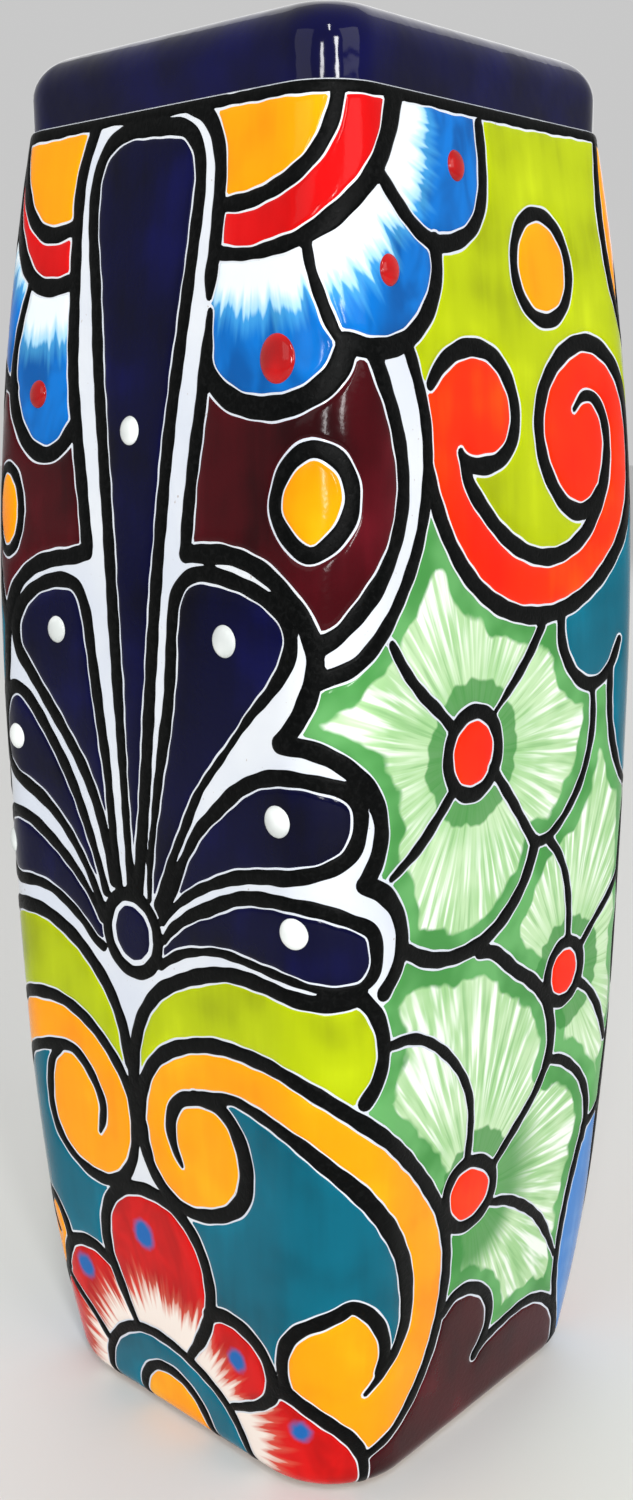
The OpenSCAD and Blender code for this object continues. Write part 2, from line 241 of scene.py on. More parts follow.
    "blueLeafTop": (3, [(108.6, 78), (114, 80.4), (120, 84)]),
    "blueLeaf": (3, [(108.8, 78), (106.6, 70), (104.4, 61), (103, 52), (102.4, 42), (103, 32.5),
        (105.2, 24), (109, 14.5), (113.5, 6.5), (116, 1)]),
    # wine lobes at the foot
    "wineLobe1": (3.8, [(40.6, 46.4), (45, 49.2), (51, 49.2), (57, 46.8), (62, 42.8), (65, 37.5),
        (65, 31.5), (62.6, 26.8), (59.6, 23.6)]),
    "wineLobe2": (3.2, [(60.4, 24.4), (66, 26.8), (74, 28.2), (82, 29), (89, 28.6), (96, 26.4),
        (102, 22.6), (107, 17), (110, 10.5), (111.4, 1)]),
}
# rings: (girth, height, across, up, brush width)
brushRings = {
    "hub": (-69.5, 151, 10.1, 10.8, 3.9),
    "wineDotLeft": (-118, 260, 6.6, 11.2, 3),
    "limeDot": (81.8, 320, 13.3, 12.9, 3.6),
    "flowerOne": (46.4, 202.1, 10.4, 10.6, 4),
    "flowerTwo": (91.6, 131.5, 8.5, 8.7, 3.6),
}
brushLoops = {
    "wineDotRight": (4, [(-5.4, 277.4), (0.4, 275.2), (3.6, 269.4), (3, 262.4), (-1.8, 256.2),
        (-6.4, 254), (-12, 257.6), (-15.8, 263.6), (-14.4, 270), (-10.4, 275)]),
    "flowerThree": (3.8, [(39.4, 84), (43, 88.2), (49, 89.2), (56, 86.6), (60.8, 81.4), (60.4, 75.4),
        (56, 71.3), (49, 70), (43.4, 72), (39.6, 77)]),
}

# Where each enamel is laid, as a place inside its patch.
enamelPatches = {
    "cobalt": [(-67, 294), (-32, 230), (-20, 191), (-15, 162), (-96, 229), (-112, 199), (-115, 166)],
    "hub": [(-69.5, 151)],
    "orange": [(-20, 344), (-105, 344), (-6, 266), (-118, 260), (81.7, 320), (122, 334), (-45, 94), (-98, 92),
               (-66, 9)],
    "redRing": [(10, 346), (-101, 323)],
    "wine": [(-30, 269), (-101, 259), (48, 29)],
    "lime": [(60, 314), (-30, 139), (-100, 136)],
    "coral": [(94, 274), (46.4, 202), (91.6, 131.4), (49.5, 79.5)],
    "teal": [(-10, 84), (-116, 68), (100, 226), (-91, 9.5)],
    "leaf": [(108, 44)],
}
# Petals are combed from a flower's middle. An entry holds a place in the petal, that middle, and how far out
# the colour changes.
combedPatches = {
    "blue": [((-18, 299), (-22, 356), 48.5), ((15, 314), (-22, 356), 51), ((42, 339), (-22, 356), 55),
             ((-103, 291), (-104, 356), 53), ((-122, 314), (-104, 356), 40)],
    "red": [((-68, 59), (-66, 2), 42), ((-100, 36), (-66, 2), 41), ((-114, 14), (-66, 2), 44),
            ((-36, 34), (-66, 2), 38), ((-12, 16), (-66, 2), 47)],
    "green": [((42, 177), (46.4, 202), 18.6), ((80, 190), (46.4, 202), 18.2), ((21, 198), (46.4, 202), 18.8),
              ((44, 224), (46.4, 202), 19), ((79, 152), (91.6, 131.4), 15.5),
              ((106, 175), (91.6, 131.4), 16.5),
              ((108, 132), (91.6, 131.4), 17), ((75, 48), (49.5, 79.5), 25), ((90, 88), (49.5, 79.5), 29),
              ((30, 112), (49.5, 79.5), 15), ((44, 137), (49.5, 79.5), 19), ((114, 92), (91.6, 131.4), 17)],
}
# Drops of enamel: girth, height, radius.
dropSettings = {
    "white": [(-67, 281, 3.6), (-32.5, 232.5, 4), (-15.5, 191.5, 4), (-11, 164.5, 4), (-96, 229.5, 3.6),
              (-115.5, 198, 3.6), (-124, 166, 3.6)],
    "red": [(-15, 297, 5.6), (15.5, 316, 3.6), (45, 341, 3.6), (-105, 290, 3.6)],
    "height": 1.5,
    "sink": 0.2,
}


def feed(tree, socket, value):
    # Links a socket, or sets it where the value is plain.
    if isinstance(value, bpy.types.NodeSocket):
        tree.links.new(value, socket)
    else:
        socket.default_value = value


def addMath(tree, operation, *values):
    node = tree.nodes.new("ShaderNodeMath")
    node.operation = operation
    for socket, value in zip(node.inputs, values):
        feed(tree, socket, value)
    return node.outputs[0]


def joinXyz(tree, x, y, z):
    node = tree.nodes.new("ShaderNodeCombineXYZ")
    for socket, value in zip(node.inputs, (x, y, z)):
        feed(tree, socket, value)
    return node.outputs[0]


def splitXyz(tree, vector):
    node = tree.nodes.new("ShaderNodeSeparateXYZ")
    tree.links.new(vector, node.inputs[0])
    return node.outputs


def readPlace(tree):
    return splitXyz(tree, tree.nodes.new("GeometryNodeInputPosition").outputs[0])


def movePoints(tree, geometry, x, y, z):
    moved = tree.nodes.new("GeometryNodeSetPosition")
    tree.links.new(geometry, moved.inputs["Geometry"])
    tree.links.new(joinXyz(tree, x, y, z), moved.inputs["Position"])
    return moved.outputs[0]


def realize(tree, geometry):
    real = tree.nodes.new("GeometryNodeRealizeInstances")
    tree.links.new(geometry, real.inputs[0])
    return real.outputs[0]


def mergeClose(tree, geometry, distance):
    merged = tree.nodes.new("GeometryNodeMergeByDistance")
    merged.inputs["Distance"].default_value = distance
    tree.links.new(geometry, merged.inputs["Geometry"])
    return merged.outputs[0]


def callGroup(tree, group, values):
    node = tree.nodes.new("GeometryNodeGroup")
    node.node_tree = group
    for name, value in values.items():
        feed(tree, node.inputs[name], value)
    return node


def addInputs(tree, floats):
    for name, value in floats.items():
        socket = tree.interface.new_socket(name, in_out="INPUT", socket_type="NodeSocketFloat")
        socket.default_value = value


def startTree(name, floats, takesFinish=True):
    tree = bpy.data.node_groups.new(name, "GeometryNodeTree")
    tree.interface.new_socket("Geometry", in_out="INPUT", socket_type="NodeSocketGeometry")
    addInputs(tree, floats)
    if takesFinish:
        tree.interface.new_socket("Finish", in_out="INPUT", socket_type="NodeSocketMaterial")
    tree.interface.new_socket("Geometry", in_out="OUTPUT", socket_type="NodeSocketGeometry")
    given = {socket.name: socket for socket in tree.nodes.new("NodeGroupInput").outputs if socket.name}
    return tree, given


def endTree(tree, geometry, finish):
    # Every tree ends with real geometry that carries its material.
    painted = tree.nodes.new("GeometryNodeSetMaterial")
    shown = tree.nodes.new("NodeGroupOutput")
    tree.links.new(realize(tree, geometry), painted.inputs["Geometry"])
    tree.links.new(finish, painted.inputs["Material"])
    tree.links.new(painted.outputs[0], shown.inputs[0])
    return tree


def endWrap(tree, given, place, height):
    # A wrapping group ends by moving its points to their place, in metres.
    x, y, z = (addMath(tree, "MULTIPLY", value, mm) for value in (place.outputs[0], place.outputs[1], height))
    shown = tree.nodes.new("NodeGroupOutput")
    tree.links.new(movePoints(tree, given["Geometry"], x, y, z), shown.inputs[0])
    return tree


def makeSectionGroup():
    # A rounded square walked round at an even pace: Turn counts the corners passed.
    tree = bpy.data.node_groups.new("roundedSection", "GeometryNodeTree")
    addInputs(tree, {"Turn": 0, "Half Side": 50, "Corner Radius": 10, "Stand Off": 0})
    tree.interface.new_socket("X", in_out="OUTPUT", socket_type="NodeSocketFloat")
    tree.interface.new_socket("Y", in_out="OUTPUT", socket_type="NodeSocketFloat")
    given = tree.nodes.new("NodeGroupInput").outputs
    turn, side, radius, standOff = given[0], given[1], given[2], given[3]
    flat = addMath(tree, "SUBTRACT", side, radius)
    run = addMath(tree, "MULTIPLY_ADD", flat, 2.0, addMath(tree, "MULTIPLY", radius, math.pi / 2))
    corner = addMath(tree, "FLOOR", addMath(tree, "ADD", turn, 0.5))
    along = addMath(tree, "MULTIPLY", addMath(tree, "SUBTRACT", turn, corner), run)
    bend = addMath(tree, "DIVIDE", along, radius)
    bend = addMath(tree, "MAXIMUM", addMath(tree, "MINIMUM", bend, math.pi / 4), -math.pi / 4)
    past = addMath(tree, "SUBTRACT", along, addMath(tree, "MULTIPLY", bend, radius))
    middle = addMath(tree, "MULTIPLY_ADD", corner, math.pi / 2, -math.pi / 4)
    facing = addMath(tree, "ADD", middle, bend)
    reach = addMath(tree, "MULTIPLY", flat, math.sqrt(2))
    out = addMath(tree, "ADD", radius, standOff)
    cosine = addMath(tree, "COSINE", facing)
    sine = addMath(tree, "SINE", facing)
    x = addMath(tree, "MULTIPLY", reach, addMath(tree, "COSINE", middle))
    x = addMath(tree, "MULTIPLY_ADD", out, cosine, x)
    x = addMath(tree, "SUBTRACT", x, addMath(tree, "MULTIPLY", past, sine))
    y = addMath(tree, "MULTIPLY", reach, addMath(tree, "SINE", middle))
    y = addMath(tree, "MULTIPLY_ADD", out, sine, y)
    y = addMath(tree, "MULTIPLY_ADD", past, cosine, y)
    shown = tree.nodes.new("NodeGroupOutput")
    tree.links.new(x, shown.inputs[0])
    tree.links.new(y, shown.inputs[1])
    return tree


sectionGroup = makeSectionGroup()


wobbleScale = 0.018                       # turns of the slow swell to a millimetre
wobbleFade = 20.0                         # half side, past the least corner, at which the swell is whole


def wobbleAt(tree, x, y, z, amount):
    # The hand-pressed wall is never quite true: a slow swell in and out.
    noise = tree.nodes.new("ShaderNodeTexNoise")
    noise.noise_dimensions = "3D"
    noise.inputs["Scale"].default_value = wobbleScale
    noise.inputs["Detail"].default_value = 1.0
    tree.links.new(joinXyz(tree, x, y, z), noise.inputs["Vector"])
    swing = addMath(tree, "SUBTRACT", noise.outputs[0], 0.5)
    return addMath(tree, "MULTIPLY", addMath(tree, "MULTIPLY", swing, 2.0), amount)


def makeWrapGroup():
    # Wraps a flat drawing, x girth, y height and z stand-off, on to the ware.
    tree, given = startTree("wrapOnWare", ware, takesFinish=False)
    girth, height, standOff = readPlace(tree)
    belly = given["Belly Height"]
    low = addMath(tree, "DIVIDE", addMath(tree, "SUBTRACT", belly, height), belly)
    low = addMath(tree, "POWER", addMath(tree, "MAXIMUM", low, 0.0), given["Lower Power"])
    high = addMath(tree, "DIVIDE", addMath(tree, "SUBTRACT", height, belly),
                   addMath(tree, "SUBTRACT", given["Neck Height"], belly))
    high = addMath(tree, "POWER", addMath(tree, "MAXIMUM", high, 0.0), given["Upper Power"])
    pull = addMath(tree, "MULTIPLY", low, given["Lower Pull"])
    side = addMath(tree, "SUBTRACT", given["Belly Half Side"], pull)
    side = addMath(tree, "SUBTRACT", side, addMath(tree, "MULTIPLY", high, given["Upper Pull"]))
    rounding = given["Foot Rounding"]
    depth = addMath(tree, "MAXIMUM", addMath(tree, "SUBTRACT", rounding, height), 0.0)
    square = addMath(tree, "SUBTRACT", addMath(tree, "MULTIPLY", rounding, rounding),
                     addMath(tree, "MULTIPLY", depth, depth))
    inset = addMath(tree, "SUBTRACT", rounding, addMath(tree, "SQRT", addMath(tree, "MAXIMUM", square, 0.0)))
    side = addMath(tree, "SUBTRACT", side, inset)
    taper = addMath(tree, "DIVIDE", addMath(tree, "SUBTRACT", given["Top Corner"], given["Foot Corner"]),
                    given["Full Height"])
    radius = addMath(tree, "MULTIPLY_ADD", height, taper, given["Foot Corner"])
    turn = addMath(tree, "DIVIDE", girth, given["Face Girth"])
    skin = callGroup(tree, sectionGroup, {"Turn": turn, "Half Side": side, "Corner Radius": radius})
    wobble = wobbleAt(tree, skin.outputs[0], skin.outputs[1], height, given["Hand Wobble"])
    # Past the least corner the section itself shrinks, until it closes in the middle of the floor.
    least = given["Least Corner"]
    deeper = addMath(tree, "MINIMUM", addMath(tree, "ADD", standOff, least), 0.0)
    side = addMath(tree, "MAXIMUM", addMath(tree, "ADD", side, deeper), least)
    radius = addMath(tree, "MAXIMUM", addMath(tree, "ADD", radius, deeper), least)
    standOff = addMath(tree, "SUBTRACT", standOff, deeper)
    standOff = addMath(tree, "MAXIMUM", standOff, addMath(tree, "MULTIPLY", least, -1.0))
    share = addMath(tree, "DIVIDE", addMath(tree, "SUBTRACT", side, least), wobbleFade)
    wobble = addMath(tree, "MULTIPLY", wobble, addMath(tree, "MINIMUM", share, 1.0))
    place = callGroup(tree, sectionGroup, {"Turn": turn, "Half Side": side, "Corner Radius": radius,
                                           "Stand Off": addMath(tree, "ADD", standOff, wobble)})
    return endWrap(tree, given, place, height)


wrapGroup = makeWrapGroup()


def makePaintTree():
    tree, given = startTree("paintOnWare", {})
    wrapped = callGroup(tree, wrapGroup, {"Geometry": given["Geometry"]} | ware)
    return endTree(tree, wrapped.outputs[0], given["Finish"])


weld = {"skin": 0.00001, "drop": 0.000001}     # how close points are merged, in metres


def makeSkinTree():
    # Sweeps a closed section, x height and y depth into the wall, once round the ware.
    tree, given = startTree("skinOfWare", {"Girth": 2 * halfTurn, "Stations": 256})
    return endTree(tree, sweepRound(tree, given, wrapGroup, ware), given["Finish"])


def sweepRound(tree, given, group, values):
    section = tree.nodes.new("GeometryNodeMeshToCurve")
    tree.links.new(given["Geometry"], section.inputs[0])
    line = tree.nodes.new("GeometryNodeCurvePrimitiveLine")
    half = addMath(tree, "MULTIPLY", given["Girth"], 0.5)
    tree.links.new(joinXyz(tree, half, 0.0, 0.0), line.inputs["Start"])
    tree.links.new(joinXyz(tree, addMath(tree, "MULTIPLY", half, -1.0), 0.0, 0.0), line.inputs["End"])
    path = tree.nodes.new("GeometryNodeResampleCurve")
    tree.links.new(line.outputs[0], path.inputs["Curve"])
    tree.links.new(given["Stations"], path.inputs["Count"])
    swept = tree.nodes.new("GeometryNodeCurveToMesh")
    tree.links.new(path.outputs[0], swept.inputs["Curve"])
    tree.links.new(section.outputs[0], swept.inputs["Profile Curve"])
    wrapped = callGroup(tree, group, {"Geometry": swept.outputs[0]} | values)
    return mergeClose(tree, wrapped.outputs[0], weld["skin"])


# The lip's form, in millimetres. Its roll has a wide outer round and a tight one into the mouth.
lip = {
    "Lip Half Side": lipBox[1].x / mm,
    "Lip Corner": 14,
    "Mouth Corner": 8,
    "Lip Thickness": 12,
    "Face Girth": faceGirth,
    "Hand Wobble": ware["Hand Wobble"],
}


def makeLipGroup():
    # The lip's corners tighten from its outside to the mouth.
    tree, given = startTree("wrapOnLip", lip, takesFinish=False)
    girth, height, standOff = readPlace(tree)
    side = addMath(tree, "ADD", given["Lip Half Side"], standOff)
    taper = addMath(tree, "DIVIDE", addMath(tree, "SUBTRACT", given["Lip Corner"], given["Mouth Corner"]),
                    given["Lip Thickness"])
    radius = addMath(tree, "MULTIPLY_ADD", standOff, taper, given["Lip Corner"])
    turn = addMath(tree, "DIVIDE", girth, given["Face Girth"])
    shape = {"Turn": turn, "Half Side": side, "Corner Radius": radius}
    skin = callGroup(tree, sectionGroup, shape)
    wobble = wobbleAt(tree, skin.outputs[0], skin.outputs[1], height, given["Hand Wobble"])
    place = callGroup(tree, sectionGroup, shape | {"Stand Off": wobble})
    return endWrap(tree, given, place, height)


def makeLipTree():
    tree, given = startTree("skinOfLip", {"Girth": 2 * halfTurn, "Stations": 320})
    return endTree(tree, sweepRound(tree, given, makeLipGroup(), lip), given["Finish"])


def makeDropTree():
    # A flattened bead stands at every point, as wide as the point says.
    sizes = {"Drop Height": dropSettings["height"], "Drop Sink": dropSettings["sink"]}
    tree, given = startTree("dropsOnWare", sizes)
    bead = tree.nodes.new("GeometryNodeMeshUVSphere")
    bead.inputs["Segments"].default_value = 32
    bead.inputs["Rings"].default_value = 16
    bead.inputs["Radius"].default_value = 1.0
    wide = tree.nodes.new("GeometryNodeInputNamedAttribute")
    wide.inputs["Name"].default_value = "dropRadius"
    radius = wide.outputs["Attribute"]
    placed = tree.nodes.new("GeometryNodeInstanceOnPoints")
    tree.links.new(given["Geometry"], placed.inputs["Points"])
    tree.links.new(bead.outputs[0], placed.inputs["Instance"])
    tree.links.new(joinXyz(tree, radius, radius, given["Drop Height"]), placed.inputs["Scale"])
    x, y, z = readPlace(tree)
    sunk = addMath(tree, "MAXIMUM", z, addMath(tree, "MULTIPLY", given["Drop Sink"], -1.0))
    moved = movePoints(tree, realize(tree, placed.outputs[0]), x, y, sunk)
    wrapped = callGroup(tree, wrapGroup, {"Geometry": moved} | ware)
    return endTree(tree, mergeClose(tree, wrapped.outputs[0], weld["drop"]), given["Finish"])


sharpAngle = 40                           # degrees past which an edge is left sharp


def runTree(name, mesh, tree, material, settings=None):
    # Runs a tree on a mesh and keeps the result as a plain mesh.
    piece = bpy.data.objects.new(name, mesh)
    bpy.context.scene.collection.objects.link(piece)
    modifier = piece.modifiers.new("shape", "NODES")
    modifier.node_group = tree
    values = {"Finish": material} | (settings or {})
    for item in tree.interface.items_tree:
        if item.in_out == "INPUT" and item.name in values:
            modifier[item.identifier] = values[item.name]
    graph = bpy.context.evaluated_depsgraph_get()
    whole = piece.evaluated_get(graph)
    solid = bpy.data.meshes.new_from_object(whole, preserve_all_data_layers=True, depsgraph=graph)
    piece.modifiers.remove(modifier)
    piece.data = solid
    solid.name = name
    solid.shade_smooth()
    solid.set_sharp_from_angle(angle=math.radians(sharpAngle))
    return piece


def finishPiece(piece, slot, *nodes):
    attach(piece, "root")
    if nodes:
        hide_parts(*nodes)
    print(piece.name, len(piece.data.polygons), "faces")


# Brush lines become a map of how far each spot of the design is from the nearest line.
canvas = {
    "step": 0.5,
    "low": 0.5,
    "reach": 9.0,
    "lineTop": neckHeight - 0.3,
    "lineBottom": 1.9,
    "fillBottom": 2.6,
    "gap": 0.5,
    "hubGap": 1.4,
    "rimLineHeight": neckHeight - 1.4,
    "rimLineWidth": 3.0,
    "borderReach": 24.0,
    "footEdge": 10.0,
}
# The green flowers' inner lines, which carry no band of leaf green.
innerLines = ("spoke", "flower")
columns = round(halfTurn / canvas["step"])
girths = -faceGirth + canvas["step"] * np.arange(columns)
heights = np.arange(canvas["low"], neckHeight + 1, canvas["step"])


def brushPath(points, width, closed=False):
    # A smooth path through the points, as rows of girth, height and width.
    knots = np.array([(*point, width)[:3] for point in points], float)
    count = len(knots)
    ahead = np.roll(knots, -1, 0)
    afterNext = np.roll(knots, -2, 0)
    behind = np.roll(knots, 1, 0)
    if not closed:
        behind[0] = 2 * knots[0] - knots[1]
        afterNext[count - 2] = 2 * knots[count - 1] - knots[count - 2]
    rows = []
    for k in range(count if closed else count - 1):
        a, b, c, d = behind[k], knots[k], ahead[k], afterNext[k]
        times = np.cumsum([0] + [math.dist(p[:2], q[:2]) ** 0.5 for p, q in ((a, b), (b, c), (c, d))])
        steps = max(2, int(math.dist(b[:2], c[:2]) / canvas["step"]))
        t = (times[1] + (times[2] - times[1]) * np.arange(steps) / steps)[:, None]

        def between(p, q, low, high):
            return p + (q - p) * (t - times[low]) / (times[high] - times[low])

        early = between(between(a, b, 0, 1), between(b, c, 1, 2), 0, 2)
        late = between(between(b, c, 1, 2), between(c, d, 2, 3), 1, 3)
        rows.append(between(early, late, 1, 2))
    if not closed:
        rows.append(knots[-1:])
    return np.concatenate(rows)


def tracePaths():
    paths = {name: brushPath(points, width) for name, (width, points) in brushLines.items()}
    paths |= {name: brushPath(points, width, closed=True) for name, (width, points) in brushLoops.items()}
    for name, (girth, height, across, up, width) in brushRings.items():
        turns = np.linspace(0, 2 * math.pi, 160)
        paths[name] = np.stack([girth + across * np.cos(turns), height + up * np.sin(turns),
                                np.full(turns.shape, float(width))], 1)
    rim = np.arange(-faceGirth, faceGirth, canvas["step"])
    paths["rimLine"] = np.stack([rim, canvas["rimLineHeight"] + 0.25 * np.sin(rim / 17),
                                 canvas["rimLineWidth"] + 0.4 * np.sin(rim / 23)], 1)
    return paths


def mapLines(skipped=(), reach=canvas["reach"]):
    field = np.full((len(heights), columns), reach)
    span = int(reach / canvas["step"])
    near = np.arange(-span, span + 1)
    for number, (name, path) in enumerate(tracePaths().items()):
        if name.startswith(skipped):
            continue
        travel = np.arange(len(path)) * canvas["step"]
        shake = 0.09 * np.sin(travel / 2.7 + number) + 0.08 * np.sin(travel / 1.1 + 2.3 * number)
        for (girth, height, width), wobble in zip(path, shake):
            column = round((girth + faceGirth) / canvas["step"])
            row = round((height - canvas["low"]) / canvas["step"])
            across = (near + column) * canvas["step"] - faceGirth - girth
            up = np.arange(max(0, row - span), min(len(heights), row + span + 1))
            if not len(up):
                continue
            distance = np.hypot(across, (heights[up] - height)[:, None]) - width / 2 - wobble
            block = np.ix_(up, (near + column) % columns)
            field[block] = np.minimum(field[block], distance)
    return field


def labelPatches(mask):
    # Numbers the separate patches of a mask whose girth closes on itself.
    labels = np.zeros(mask.shape, int)
    parent = [0]

    def root(number):
        while parent[number] != number:
            number = parent[number]
        return number

    above = []
    for row in range(mask.shape[0]):
        edges = np.flatnonzero(np.diff(np.concatenate(([0], mask[row].astype(np.int8), [0]))))
        runs = []
        for start, end in zip(edges[::2], edges[1::2]):
            touching = {root(number) for low, high, number in above if start < high and end > low}
            number = min(touching) if touching else len(parent)
            if not touching:
                parent.append(number)
            for other in touching:
                parent[other] = number
            labels[row, start:end] = number
            runs.append((start, end, number))
        if len(runs) > 1 and runs[0][0] == 0 and runs[-1][1] == mask.shape[1]:
            first, last = root(runs[0][2]), root(runs[-1][2])
            parent[max(first, last)] = min(first, last)
        above = runs
    return np.array([root(number) for number in range(len(parent))])[labels]


# The two crossings of a cell's sides for each pattern of painted corners, painted ground to the left.
cellTurns = {1: ["bl"], 2: ["rb"], 3: ["rl"], 4: ["tr"], 5: ["bl", "tr"], 6: ["tb"], 7: ["tl"], 8: ["lt"],
             9: ["bt"], 10: ["rb", "lt"], 11: ["rt"], 12: ["lr"], 13: ["br"], 14: ["lb"]}


def findOutlines(values, xs, ys, spacing):
    # Closed outlines of the ground where values are above 0, with points an even spacing apart.
    rows, cols = values.shape
    inside = values > 0
    corners = inside[:-1, :-1] + 2 * inside[:-1, 1:] + 4 * inside[1:, 1:] + 8 * inside[1:, :-1]
    follow = {}
    for pattern, turns in cellTurns.items():
        j, i = np.nonzero(corners == pattern)
        sides = {"b": j * cols + i, "t": (j + 1) * cols + i, "l": (rows + j) * cols + i,
                 "r": (rows + j) * cols + i + 1}
        for turn in turns:
            follow.update(zip(sides[turn[0]].tolist(), sides[turn[1]].tolist()))
    outlines = []
    while follow:
        start, here = follow.popitem()
        chain = [start]
        while here != start:
            chain.append(here)
            here = follow.pop(here)
        chain = np.array(chain)
        upright = chain >= rows * cols
        j, i = np.divmod(chain - rows * cols * upright, cols)
        j2, i2 = j + upright, i + ~upright
        share = values[j, i] / (values[j, i] - values[j2, i2])
        line = np.stack([xs[i] + (xs[i2] - xs[i]) * share, ys[j] + (ys[j2] - ys[j]) * share], 1)
        length = np.hypot(*(np.roll(line, -1, 0) - line).T)
        travel = np.concatenate([[0], np.cumsum(length)])
        if travel[-1] < 4 * spacing:
            continue
        marks = np.linspace(0, travel[-1], max(8, round(travel[-1] / spacing)), endpoint=False)
        closed = np.vstack([line, line[:1]])
        outlines.append(np.stack([np.interp(marks, travel, closed[:, axis]) for axis in (0, 1)], 1))
    return outlines


def keepPainted(triangles, edges):
    # Floods over the triangles on the painted side of the outline's edges.
    owner = {}
    for number, (a, b, c) in enumerate(triangles):
        owner[a, b] = owner[b, c] = owner[c, a] = number
    painted = set()
    waiting = [owner[edge] for edge in edges if edge in owner]
    while waiting:
        number = waiting.pop()
        if number in painted:
            continue
        painted.add(number)
        a, b, c = triangles[number]
        for edge in ((a, b), (b, c), (c, a)):
            back = (edge[1], edge[0])
            if edge not in edges and back not in edges and back in owner:
                waiting.append(owner[back])
    return [triangles[number] for number in sorted(painted)]


def fillPatch(ground, levels, spacing, grid):
    # Fills the painted ground with triangles: outlines at each level, and an even grid of points inside.
    xs = np.concatenate([[-faceGirth], girths, [faceGirth, faceGirth]])
    ys = np.concatenate([[heights[0] - 1], heights, [heights[-1] + 1]])
    padded = np.pad(np.hstack([ground, ground[:, :1]]), 1, constant_values=-1e6)
    rows = np.flatnonzero(padded.max(1) > 0)
    cols = np.flatnonzero(padded.max(0) > 0)
    if not len(rows):
        return None
    part = np.s_[rows[0] - 1:rows[-1] + 2, cols[0] - 1:cols[-1] + 2]
    values, xs, ys = padded[part], xs[part[1]], ys[part[0]]
    points, links, outer = [], [], 0
    for level in levels:
        for line in findOutlines(values - level, xs, ys, spacing):
            first = len(points)
            points += line.tolist()
            links += [(first + k, first + (k + 1) % len(line)) for k in range(len(line))]
        outer = outer or len(links)
    if not outer:
        return None

    def valueAt(x, y):
        i = np.clip(np.searchsorted(xs, x, "right") - 1, 0, len(xs) - 2)
        j = np.clip(np.searchsorted(ys, y, "right") - 1, 0, len(ys) - 2)
        s = np.clip((x - xs[i]) / np.maximum(xs[i + 1] - xs[i], 1e-6), 0, 1)
        t = np.clip((y - ys[j]) / np.maximum(ys[j + 1] - ys[j], 1e-6), 0, 1)
        corners = [np.maximum(values[j + dj, i + di], -9) for dj in (0, 1) for di in (0, 1)]
        return (1 - t) * ((1 - s) * corners[0] + s * corners[1]) + t * ((1 - s) * corners[2] + s * corners[3])

    # The grid is closer over the foot's rounded edge.
    edgeTop = max(ys[0], canvas["footEdge"])
    for low, high, step in ((ys[0], edgeTop, grid / 2), (edgeTop, ys[-1], grid)):
        gx, gy = np.meshgrid(np.arange(xs[0], xs[-1], step), np.arange(low, high, step))
        gx = gx + step / 2 * (np.arange(len(gx)) % 2)[:, None]
        gx, gy = gx.ravel(), gy.ravel()
        deep = (valueAt(gx, gy) > levels[-1] + step / 3) & (np.abs(gx) < faceGirth - step / 3)
        points += np.stack([gx[deep], gy[deep]], 1).tolist()
    found = delaunay_2d_cdt([Vector(point) for point in points], links, [], 0, 1e-4)
    places = np.array([tuple(point) for point in found[0]])
    triangles = []
    for a, b, c in found[2]:
        (ax, ay), (bx, by), (cx, cy) = places[a], places[b], places[c]
        turn = (bx - ax) * (cy - ay) - (by - ay) * (cx - ax)
        triangles.append((a, b, c) if turn > 0 else (a, c, b))
    edges = set()
    pointList = np.array(points)
    for (a, b), sources in zip(found[1], found[4]):
        source = min(sources, default=outer)
        if source < outer:
            start, end = links[source]
            forward = np.dot(places[b] - places[a], pointList[end] - pointList[start]) > 0
            edges.add((a, b) if forward else (b, a))
    kept = keepPainted(triangles, edges)
    used = sorted({corner for triangle in kept for corner in triangle})
    renumber = {corner: k for k, corner in enumerate(used)}
    kept = [tuple(renumber[corner] for corner in triangle) for triangle in kept]
    places = places[used]
    return places, kept, valueAt(places[:, 0], places[:, 1])


# Levels are how far in from its edge a coating rises, and heights how high it stands there.
coatings = {
    "lineLevels": [0, 0.3, 0.9],
    "lineHeights": [0.02, 0.2, 0.32],
    "fillLevels": [0, 0.4, 1.2],
    "fillHeights": [0.02, 0.17, 0.26],
    "under": -0.25,
    "spacing": 0.9,
    "fillSpacing": 0.9 * 1.2,
    "lineGrid": 2.0,
    "fillGrid": 3.2,
}


def lookUp(field, places):
    # The field's value at each place, between the grid's points.
    x = (places[:, 0] + faceGirth) / canvas["step"]
    y = np.clip((places[:, 1] - canvas["low"]) / canvas["step"], 0, len(heights) - 1.001)
    i, j = np.floor(x).astype(int), np.floor(y).astype(int)
    s, t = x - i, y - j
    left, right = i % columns, (i + 1) % columns
    return ((1 - t) * ((1 - s) * field[j, left] + s * field[j, right])
            + t * ((1 - s) * field[j + 1, left] + s * field[j + 1, right]))


